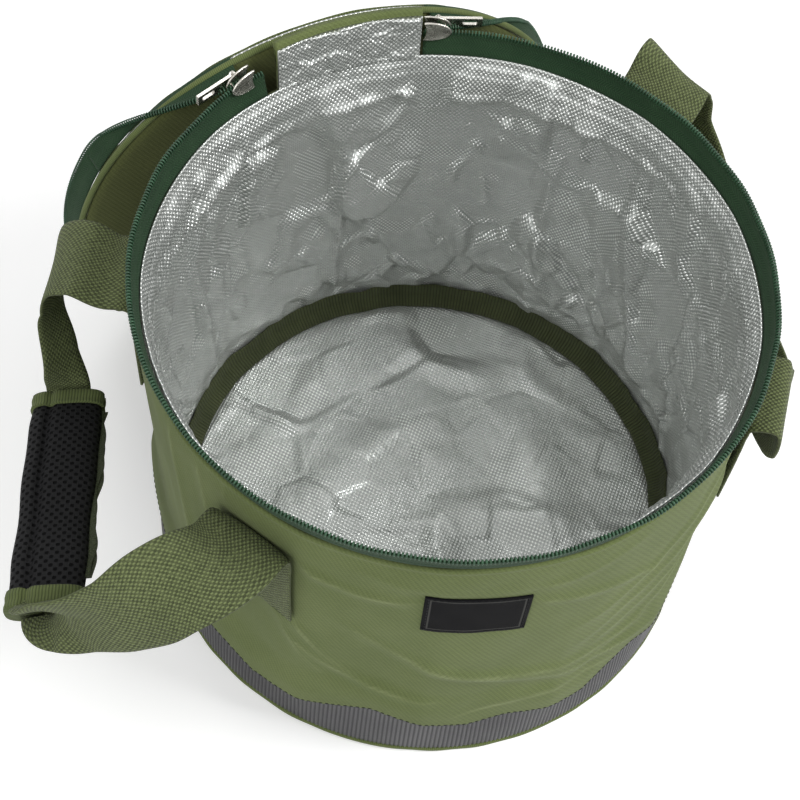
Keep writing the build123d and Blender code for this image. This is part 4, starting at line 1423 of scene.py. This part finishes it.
def cloth_radius(azimuth, z):
    """Outer face of the finished wall cloth."""
    return sheet_radius(z) + out_of_round(azimuth, z) + wall_relief(azimuth, z)


def label_piece():
    half = degrees(LABEL_HALF_WIDTH / sheet_radius(LABEL_LOW))
    span = (LABEL_AZIMUTH - half, LABEL_AZIMUTH + half)

    def place(azimuth, share):
        drop = LABEL_SLOPE * np.radians(turned(azimuth, LABEL_AZIMUTH)) * RIM
        return azimuth, LABEL_LOW + (LABEL_HIGH - LABEL_LOW) * share - drop

    def front(azimuth, share):
        azimuth, z = place(azimuth, share)
        return cloth_radius(azimuth, z) + 0.85 + 0.12 * ripple(azimuth, z, 111, 20, 20), z, {}

    def back(azimuth, share):
        azimuth, z = place(azimuth, share)
        return cloth_radius(azimuth, z) + 0.1, z, {}

    made = ring_shell("woven_label_tag", front, back, 34, 4, 50, LABEL_BLACK, RIM, span)
    layer = made.data.uv_layers["UVMap"].data
    uv = np.zeros(len(layer) * 2, np.float32)
    layer.foreach_get("uv", uv)
    uv = uv.reshape(-1, 2)
    uv[:, 0] -= radians(LABEL_AZIMUTH) * RIM
    uv[:, 1] -= (LABEL_HIGH - LABEL_LOW) / 2
    layer.foreach_set("uv", uv.ravel())
    weld(made)
    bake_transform(made)
    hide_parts("woven_label")


WEBBING_WIDTH = 38.0
WEBBING_THICKNESS = 1.6
ROOT = 142.0
ROOT_HEIGHT = 171.0
GRIP_MIDDLE = np.array([-173.7, 2.6, 117.5])
GRIP_LENGTH = 104.0


def unit(v):
    v = np.asarray(v, float)
    return v / np.linalg.norm(v, axis=-1, keepdims=True)


GRIP_RUN = unit([0.335, 0.931, -0.145])
GRIP_SIDE = unit(np.array([0.941, -0.325, 0.089]) - GRIP_RUN * np.dot([0.941, -0.325, 0.089], GRIP_RUN))
GRIP_TOP = np.cross(GRIP_SIDE, GRIP_RUN)


def strap_run(stations, steps):
    """Smooth centre line, width direction, width and fold through strap stations."""
    points = np.array([s[0] for s in stations], float)
    sides = unit([s[1] for s in stations])
    widths = np.array([s[2] for s in stations], float)
    folds = np.array([s[3] for s in stations], float)
    cups = np.array([s[4] if len(s) > 4 else 0 for s in stations], float)
    chords = np.linalg.norm(np.diff(points, axis=0), axis=1)
    knots = np.concatenate([[0], np.cumsum(chords)])
    slopes = np.gradient(points, knots, axis=0)
    t = np.linspace(0, knots[-1], steps)
    k = np.clip(np.searchsorted(knots, t, side="right") - 1, 0, len(chords) - 1)
    h = chords[k][:, None]
    w = ((t - knots[k]) / chords[k])[:, None]
    centre = (
        (2 * w**3 - 3 * w**2 + 1) * points[k]
        + (w**3 - 2 * w**2 + w) * h * slopes[k]
        + (3 * w**2 - 2 * w**3) * points[k + 1]
        + (w**3 - w**2) * h * slopes[k + 1]
    )
    ease = w * w * (3 - 2 * w)
    side = sides[k] * (1 - ease) + sides[k + 1] * ease
    forward = unit(np.gradient(centre, axis=0))
    side = unit(side - forward * (side * forward).sum(1, keepdims=True))
    normal = np.cross(forward, side)

    def eased(values):
        return values[k] + (values[k + 1] - values[k]) * ease[:, 0]

    return centre, side, normal, eased(widths), eased(folds), eased(cups)


def strap_piece(name, stations, steps, seed):
    """Webbing ribbon that cups over the wall and folds lengthwise into the grip."""
    centre, side, normal, width, fold, cup = strap_run(stations, steps)
    share = np.linspace(-1, 1, 21)
    s = share[None, :] * width[:, None] / 2
    phi = np.radians(fold)[:, None] / 2 * np.tanh(s / 1.7)
    ds = np.diff(s, axis=1)
    mid = (phi[:, 1:] + phi[:, :-1]) / 2
    across = np.concatenate([np.zeros((steps, 1)), np.cumsum(np.cos(mid) * ds, 1)], 1)
    rise = np.concatenate([np.zeros((steps, 1)), np.cumsum(np.sin(mid) * ds, 1)], 1)
    across -= across[:, 10:11]
    rise -= rise.mean(1, keepdims=True)
    rise -= cup[:, None] * s**2 / (2 * RIM)
    random = np.random.default_rng(seed)
    length = np.concatenate([[0], np.cumsum(np.linalg.norm(np.diff(centre, axis=0), axis=1))])
    flutter = sum(
        0.22 * np.sin(length[:, None] / random.uniform(9, 20) + share * random.uniform(-2, 2) + random.uniform(0, 6))
        for _ in range(3)
    )
    unfolded = (1 - np.clip(fold / 60, 0, 1))[:, None]
    free = (1 - np.clip(cup, 0, 1))[:, None]
    rise = rise + flutter * (np.abs(share) ** 2) * unfolded * free
    thick = WEBBING_THICKNESS / 2 * (1 - 0.45 * np.abs(share) ** 10)
    up = np.stack([-np.sin(phi), np.cos(phi)], -1)
    faces = []
    for way in (1, -1):
        a = across + way * up[..., 0] * thick
        b = rise + way * up[..., 1] * thick
        faces.append(centre[:, None] + side[:, None] * a[..., None] + normal[:, None] * b[..., None])
    ring = np.concatenate([faces[0], faces[1][:, ::-1]], 1)
    ring = capped(ring, 0)
    v = np.concatenate([s, s[:, ::-1], s[:, :1]], 1)
    v = np.concatenate([v[:1], v, v[-1:]], 0)
    u = run_values(length)[:, None]
    uv = np.stack(np.broadcast_arrays(u, v), -1)
    return weld(lattice(name, ring, uv, WEBBING, (False, True))), (centre, side, normal, length)


def patch_stations(azimuth, way):
    """Up the wall from the sewn foot and out over the fold. way is 1 leaving the wall, -1 arriving."""
    out = around(1.0, azimuth, 0)
    tangent = around(1.0, azimuth + 90, 0)
    found = []
    for z in (113.0, 125.0, 140.0, 155.0, 165.0):
        radius = float(cloth_radius(np.array([azimuth]), np.array([z]))[0]) + 0.95
        found.append((radius * out + np.array([0, 0, z]), tangent, WEBBING_WIDTH, 0, 1.0))
    edge = sheet_radius(ROOT_HEIGHT)
    found.append(((edge + 1.7) * out + np.array([0, 0, 169.6]), tangent, WEBBING_WIDTH, 0, 0.9))
    found.append(((edge + 5.2) * out + np.array([0, 0, 171.5]), tangent, WEBBING_WIDTH, 0, 0.5))
    found.append((ROOT * out + np.array([0, 0, ROOT_HEIGHT]), tangent, WEBBING_WIDTH, 0, 0.1))
    return found if way > 0 else found[::-1]


LEFT_FRONT = 211.5
LEFT_BACK = 152.0
RIGHT_FRONT = -38.0
RIGHT_BACK = 28.0


def left_strap():
    flat = WEBBING_WIDTH
    start = GRIP_MIDDLE - GRIP_RUN * GRIP_LENGTH / 2
    end = GRIP_MIDDLE + GRIP_RUN * GRIP_LENGTH / 2
    stations = patch_stations(LEFT_FRONT, 1)
    stations += [
        ((-146, -79, 170), (0.50, -0.82, -0.28), flat, 0),
        ((-169, -79, 160), (0.54, -0.50, -0.67), flat, 6),
        ((-185, -70, 150), (0.44, -0.36, -0.82), flat, 34),
        ((-193, -60, 138), (0.22, -0.12, -0.96), flat, 104),
        (start - GRIP_RUN * 5 - GRIP_SIDE * 1.5, -GRIP_TOP, flat, 158),
        (start + GRIP_RUN * 9, -GRIP_TOP, flat, 174),
        (GRIP_MIDDLE, -GRIP_TOP, flat, 174),
        (end - GRIP_RUN * 9, -GRIP_TOP, flat, 174),
        (end + GRIP_RUN * 5, -GRIP_TOP + GRIP_SIDE * 0.15, flat, 150),
        ((-152, 69, 124), (0.30, 0.55, -0.78), flat, 80),
        ((-149, 84, 146), (0.42, 0.88, -0.12), flat, 18),
        ((-145, 84, 165), (0.45, 0.89, 0.0), flat, 0),
        ((-136, 76, 172.5), (0.46, 0.885, 0.0), flat, 0),
    ]
    tangent = [(p, tuple(-np.array(d)), *rest) for p, d, *rest in patch_stations(LEFT_BACK, -1)]
    made, line = strap_piece("left_strap_webbing", stations + tangent, 420, 121)
    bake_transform(made)
    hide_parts("left_handle_strap", "left_strap_end_front", "left_strap_end_back")
    return line


def right_strap():
    flat = WEBBING_WIDTH
    stations = patch_stations(RIGHT_FRONT, 1)
    stations += [
        ((113.0, -88.3, 167.5), (0.616, 0.788, 0.0), flat, 0),
        ((115.5, -87.5, 157), (0.60, 0.79, 0.12), flat, 0),
        ((123, -76, 141), (0.50, 0.60, 0.62), flat, 0),
        ((137, -46, 122), (0.40, 0.28, 0.87), flat, 0),
        ((149, -5, 110), (0.30, 0.0, 0.95), flat, 0),
        ((158, 34, 112), (0.35, -0.15, 0.92), flat, 0),
        ((160, 62, 127), (0.50, -0.50, 0.70), flat, 0),
        ((156, 82, 150), (0.48, -0.84, 0.20), flat, 0),
        ((155, 86, 168), (0.44, -0.86, -0.20), flat, 0),
        ((151, 85, 178), (0.40, -0.85, -0.33), flat, 0),
        ((140, 76, 176), (0.45, -0.88, -0.12), flat, 0),
    ]
    tangent = [(p, tuple(-np.array(d)), *rest) for p, d, *rest in patch_stations(RIGHT_BACK, -1)]
    made, line = strap_piece("right_strap_webbing", stations + tangent, 420, 122)
    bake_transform(made)
    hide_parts("right_handle_strap", "right_strap_end_front", "right_strap_end_back")
    return line


def grip_outline(grow, lip):
    """C-shaped section of the grip wrap: over the top, round the hinge edge, under, and back inside."""
    half_width = 15.5 + grow
    half_height = 6.2 + grow
    t = np.linspace(0.06, pi - 0.02, 56)
    x = half_width * np.sign(np.cos(t)) * np.abs(np.cos(t)) ** 0.72
    y = half_height * np.sin(t) ** 0.62
    valley = 1.9 * np.exp(-(((x + 6.8) / 1.7) ** 2))
    top = np.stack([x, np.maximum(y - valley, lip)], 1)
    low = np.stack([x[::-1], -np.maximum(y[::-1], lip)], 1)
    room = 2.3
    inside = np.array([(10.6, -lip), (10.4, -room), (-10.4, -room), (-10.8, 0), (-10.4, room), (10.4, room), (10.6, lip)])
    return np.concatenate([top, low, inside])


def grip_point(x, y, along):
    return (
        GRIP_MIDDLE
        + GRIP_SIDE * np.asarray(x)[..., None]
        + GRIP_TOP * np.asarray(y)[..., None]
        + GRIP_RUN * np.asarray(along)[..., None]
    )


def grip_tube(name, outline, start, end, rows, material, swell, around_first=False):
    along = np.linspace(start, end, rows)
    x = np.repeat(outline[:, 0][None], rows, 0)
    y = np.repeat(outline[:, 1][None], rows, 0)
    grow = swell(along)[:, None]
    x = x * (1 + grow / 15.5)
    y = y * (1 + grow / 6.2)
    points = grip_point(x, y, np.repeat(along[:, None], x.shape[1], 1))
    points = capped(points, 0)
    round_length = running(points[rows // 2 : rows // 2 + 1], 1, True)
    u = run_values(along)[:, None]
    pair = (round_length, u) if around_first else (u, round_length)
    uv = np.stack(np.broadcast_arrays(*pair), -1)
    made = weld(lattice(name, points, uv, material, (False, True)))
    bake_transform(made)
    return made


def grip_pieces():
    def swell(along):
        return 0.35 * np.sin(along / 13.0) + 0.25 * np.sin(along / 5.7 + 1) - 0.5 * smooth(34, 46, np.abs(along))

    wrap = grip_tube("grip_mesh_wrap", grip_outline(0, 0.9), -50.2, 45.2, 90, MESH_BLACK, swell)
    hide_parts("grip_pad", "grip_flap")

    def even(along):
        return 0.12 * np.sin(along * 1.3)

    for name, start, end in (("front", -58, -49.6), ("back", 44.6, 52)):
        made = grip_tube("grip_end_binding_" + name, grip_outline(0.55, 0.9), start, end, 12, GROSGRAIN, even, True)
        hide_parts("grip_pad_binding_" + name, "grip_flap_binding_" + name)

    for name, node, body, low, high, seed in (
        ("hook_tape", "grip_hook_strip", "grip_flap", 0.16, 0.95, 131),
        ("loop_tape", "grip_loop_strip", "left_handle", -0.8, -0.05, 132),
    ):
        along = np.linspace(-43, 43, 110)
        wave = 0.9 * np.sin(along / 7.3 + seed) + 0.5 * np.sin(along / 3.1 + 2 * seed)
        x = np.array([10.7, 14.6, 17.4, 17.6, 17.4, 14.6, 10.7])
        y = np.array([low, low, low, (low + high) / 2, high, high, high])
        edge = smooth(12.5, 17.4, x)
        px = x[None] + wave[:, None] * edge[None]
        py = y[None] + 0 * px
        points = grip_point(px, py, np.repeat(along[:, None], len(x), 1))
        points = capped(points, 0)
        v = np.append(x, x[0])[None]
        u = run_values(along)[:, None]
        strip = weld(lattice(name, points, np.stack(np.broadcast_arrays(u, v), -1), HOOK_LOOP, (False, True)))
        finish_piece(strip, body, "hook_loop", node)


def rows_of_stitches(name, lines, spacing, template, material, closed=False):
    """Stitches along lines of (points, outward directions)."""
    paths, facing = zip(*lines)
    return repeat_along(name, list(paths), list(facing), spacing, template, material, closed)


def stitch_pieces():
    """Sewing seen on the lining's top, the hinge tab, the handles' sewn ends and the label."""
    azimuth = np.linspace(-180, 180, 500, endpoint=False)
    lines = []
    for drop in LINING_ROWS:
        z = np.full(azimuth.shape, WALL_TOP - drop)
        radius = lining_seat(z) + out_of_round(azimuth, z) - LINING - lining_relief(azimuth, z) - 0.1
        lines.append((around(radius, azimuth, z), around(-1.0, azimuth, 0 * z)))
    made = rows_of_stitches("lining_stitches", lines, 3.3, STITCH, THREAD_SILVER, True)
    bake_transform(made)

    lines = []
    inner = WALL_TOP_RADIUS - 0.5 - 0.95 - 1.9
    for azimuth in (90 - TAB_HALF_ANGLE + 1.6, 90 + TAB_HALF_ANGLE - 3.3):
        z = np.linspace(WALL_TOP + 3, LID_SEAM - 3, 12)
        lines.append((around(inner, azimuth, z), around(-1.0, azimuth, 0 * z)))
    made = rows_of_stitches("tab_stitches", lines, 3.0, STITCH_SMALL, THREAD_SILVER)
    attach(made, "rim")

    lines = []
    for azimuth in PATCH_AZIMUTHS:
        out, tangent = around(1.0, azimuth, 0), around(1.0, azimuth + 90, 0)

        def on_webbing(s, z):
            radius = cloth_radius(np.full(z.shape, azimuth), z) + 0.95 + 0.85 - s**2 / (2 * RIM)
            return out * radius[:, None] + tangent * s[:, None] + np.array([0, 0, 1.0]) * z[:, None]

        t = np.linspace(0, 1, 16)
        low, high, half = 115.5, 143.0, 16.0
        for s, z in (
            (half * (2 * t - 1), low + 0 * t),
            (half * (2 * t - 1), high + 0 * t),
            (-half + 0 * t, low + (high - low) * t),
            (half + 0 * t, low + (high - low) * t),
            (half * (2 * t - 1), low + (high - low) * t),
            (half * (2 * t - 1), high + (low - high) * t),
        ):
            lines.append((on_webbing(s, z), np.repeat(out[None], len(t), 0)))
    made = rows_of_stitches("handle_patch_stitches", lines, 2.9, STITCH, THREAD_OLIVE)
    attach(made, "rim")

    lines = []
    half = degrees((LABEL_HALF_WIDTH - 1.4) / RIM)
    azimuth = LABEL_AZIMUTH + np.linspace(-half, half, 24)
    drop = LABEL_SLOPE * np.radians(azimuth - LABEL_AZIMUTH) * RIM
    for level in (LABEL_LOW + 1.4, LABEL_HIGH - 1.4):
        z = level - drop
        lines.append((around(cloth_radius(azimuth, z) + 0.95, azimuth, z), around(1.0, azimuth, 0 * z)))
    for edge in (-half, half):
        z = np.linspace(LABEL_LOW + 1.4, LABEL_HIGH - 1.4, 20) - LABEL_SLOPE * radians(edge) * RIM
        azimuth = np.full(z.shape, LABEL_AZIMUTH + edge)
        lines.append((around(cloth_radius(azimuth, z) + 0.95, azimuth, z), around(1.0, azimuth, 0 * z)))
    made = rows_of_stitches("label_stitches", lines, 2.4, STITCH_SMALL, THREAD_BLACK)
    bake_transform(made)

    azimuth = np.linspace(-180, 180, 420, endpoint=False)
    z = fold_edge(azimuth) + 2.4
    made = rows_of_stitches(
        "wall_foot_stitches",
        [(around(cloth_radius(azimuth, z) + 0.12, azimuth, z), around(1.0, azimuth, 0 * z))],
        3.0, STITCH_SMALL, THREAD_BLACK, True)
    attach(made, "base")

    azimuth = np.linspace(-180, 180, 420, endpoint=False)
    path = hang(around(118.4, azimuth, LID_SEAM - 1.72))
    above = hang(around(118.4, azimuth, LID_SEAM - 2.72))
    row = [(path, above - path)]
    made = rows_of_stitches("lid_binding_stitches", row, 3.0, STITCH_SMALL, THREAD_OLIVE, True)
    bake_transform(made)


def panel_finish(name, base, pale):
    """Coated cloth of the underside, woven on Object coordinates."""
    g = Finish(name, Roughness=0.8, Specular_IOR_Level=0.25)
    place = g.node("ShaderNodeTexCoord", output=3)
    x = g.node("ShaderNodeSeparateXYZ", None, {0: place})
    y = Wire(g, x.socket.node.outputs[1])
    weave = waves(x * 1000, 1.6) * waves(y * 1000, 1.6) * 0.5 + 0.5
    wander = g.noise(30, 4.0).step(0.3, 0.7)
    colour = g.mix(wander * 0.5, base, pale)
    g.set("Base Color", g.mix((1 - weave) * 0.5, colour, tuple(c * 0.4 for c in base)))
    g.bump(weave, 0.2, 0.8)
    return g.material


def finish_frame_nodes():
    """Looks of the CAD nodes that stay visible: the zip pulls and the cloth of the underside."""
    worn = nickel_finish("pull_nickel")
    panel = panel_finish("underside_cloth", (0.080, 0.098, 0.036), (0.11, 0.13, 0.05))
    for node, material in (("slider_left_pull", worn), ("slider_right_pull", worn), ("base_panel", panel)):
        mesh = bpy.data.objects[node].data
        mesh.materials.clear()
        mesh.materials.append(material)


def stage():
    """Pale floor and soft lights; camera() sets the camera at the photograph's viewing angle."""
    bpy.ops.mesh.primitive_plane_add(size=12, location=(0, 0, -0.0006))
    floor = bpy.context.object
    floor.name = "pale_floor"
    g = Finish("pale_floor", Roughness=0.9)
    g.set("Base Color", (0.90, 0.90, 0.90, 1))
    camera_ray = g.node("ShaderNodeLightPath", output=0)
    place = g.node("ShaderNodeTexCoord", output=3)
    away = g.node("ShaderNodeVectorMath", {"operation": "LENGTH"}, {0: place}, 1)
    strength = 0.26 + away.step(0.35, 1.8) * 0.9
    glow = g.node("ShaderNodeEmission", None, {"Color": (1, 1, 1, 1), "Strength": strength})
    dark = g.node("ShaderNodeEmission", None, {"Color": (0, 0, 0, 1), "Strength": 0.0})
    chosen = g.node("ShaderNodeMixShader", None, {0: camera_ray, 1: dark, 2: glow})
    surface = g.node("ShaderNodeAddShader", None, {0: Wire(g, g.shader.outputs[0]), 1: chosen})
    g.tree.links.new(surface.socket, g.tree.nodes["Material Output"].inputs["Surface"])
    floor.data.materials.append(g.material)

    world = bpy.data.worlds.new("studio")
    bpy.context.scene.world = world
    world.use_nodes = True
    tree = world.node_tree
    path = tree.nodes.new("ShaderNodeLightPath")
    seen = tree.nodes.new("ShaderNodeMath")
    seen.operation = "MAXIMUM"
    tree.links.new(path.outputs["Is Camera Ray"], seen.inputs[0])
    clear = tree.nodes.new("ShaderNodeMath")
    clear.operation = "MAXIMUM"
    tree.links.new(path.outputs["Is Glossy Ray"], clear.inputs[0])
    tree.links.new(path.outputs["Is Transmission Ray"], clear.inputs[1])
    tree.links.new(clear.outputs[0], seen.inputs[1])
    level = tree.nodes.new("ShaderNodeMapRange")
    level.inputs["To Min"].default_value = 0.40
    level.inputs["To Max"].default_value = 1.0
    tree.links.new(seen.outputs[0], level.inputs["Value"])
    tree.links.new(level.outputs[0], tree.nodes["Background"].inputs["Strength"])
    tree.nodes["Background"].inputs["Color"].default_value = (1, 1, 1, 1)

    for name, place, size, power in (
        ("key_light", (0.85, -0.60, 1.20), 0.5, 14.5),
        ("fill_light", (-0.95, -0.60, 1.10), 0.8, 8.6),
        ("back_light", (0.1, 1.1, 1.4), 0.8, 5.0),
    ):
        lamp = bpy.data.lights.new(name, "AREA")
        lamp.size = size
        lamp.energy = power
        light = bpy.data.objects.new(name, lamp)
        light.location = place
        light.rotation_euler = (Vector((0, 0, 0.08)) - Vector(place)).to_track_quat("-Z", "Y").to_euler()
        bpy.context.scene.collection.objects.link(light)


CAMERA_PLACE = Vector((-0.1820, -0.3138, 0.6839))
CAMERA_AZIMUTH = -117.5
CAMERA_ELEVATION = 58.38
CAMERA_ROLL = 6.21
CAMERA_LENS = 67.5


def camera():
    a, e, roll = radians(CAMERA_AZIMUTH), radians(CAMERA_ELEVATION), radians(CAMERA_ROLL)
    back = Vector((cos(e) * cos(a), cos(e) * sin(a), sin(e)))
    level = Vector((-sin(a), cos(a), 0))
    rise = back.cross(level)
    right = cos(roll) * level + sin(roll) * rise
    up = cos(roll) * rise - sin(roll) * level
    data = bpy.data.cameras.new("camera")
    data.lens = CAMERA_LENS
    data.sensor_width = 36
    data.sensor_fit = "HORIZONTAL"
    made = bpy.data.objects.new("camera", data)
    turn = Matrix((right, up, back)).transposed().to_4x4()
    made.matrix_world = Matrix.Translation(CAMERA_PLACE) @ turn
    bpy.context.scene.collection.objects.link(made)
    bpy.context.scene.camera = made


stage()
camera()
wall_cloth_piece()
wall_foam_piece()
lining_piece()
floor_piece()
floor_binding_piece()
band_piece()
base_piping_piece()
rim_tape_piece()
rim_coil_piece()
hinge_tab_pieces()
lid_pieces()
lid_trim_pieces()
slider_pieces()
label_piece()
left_strap()
right_strap()
grip_pieces()
stitch_pieces()
finish_frame_nodes()

bpy.context.scene.view_settings.view_transform = "Standard"
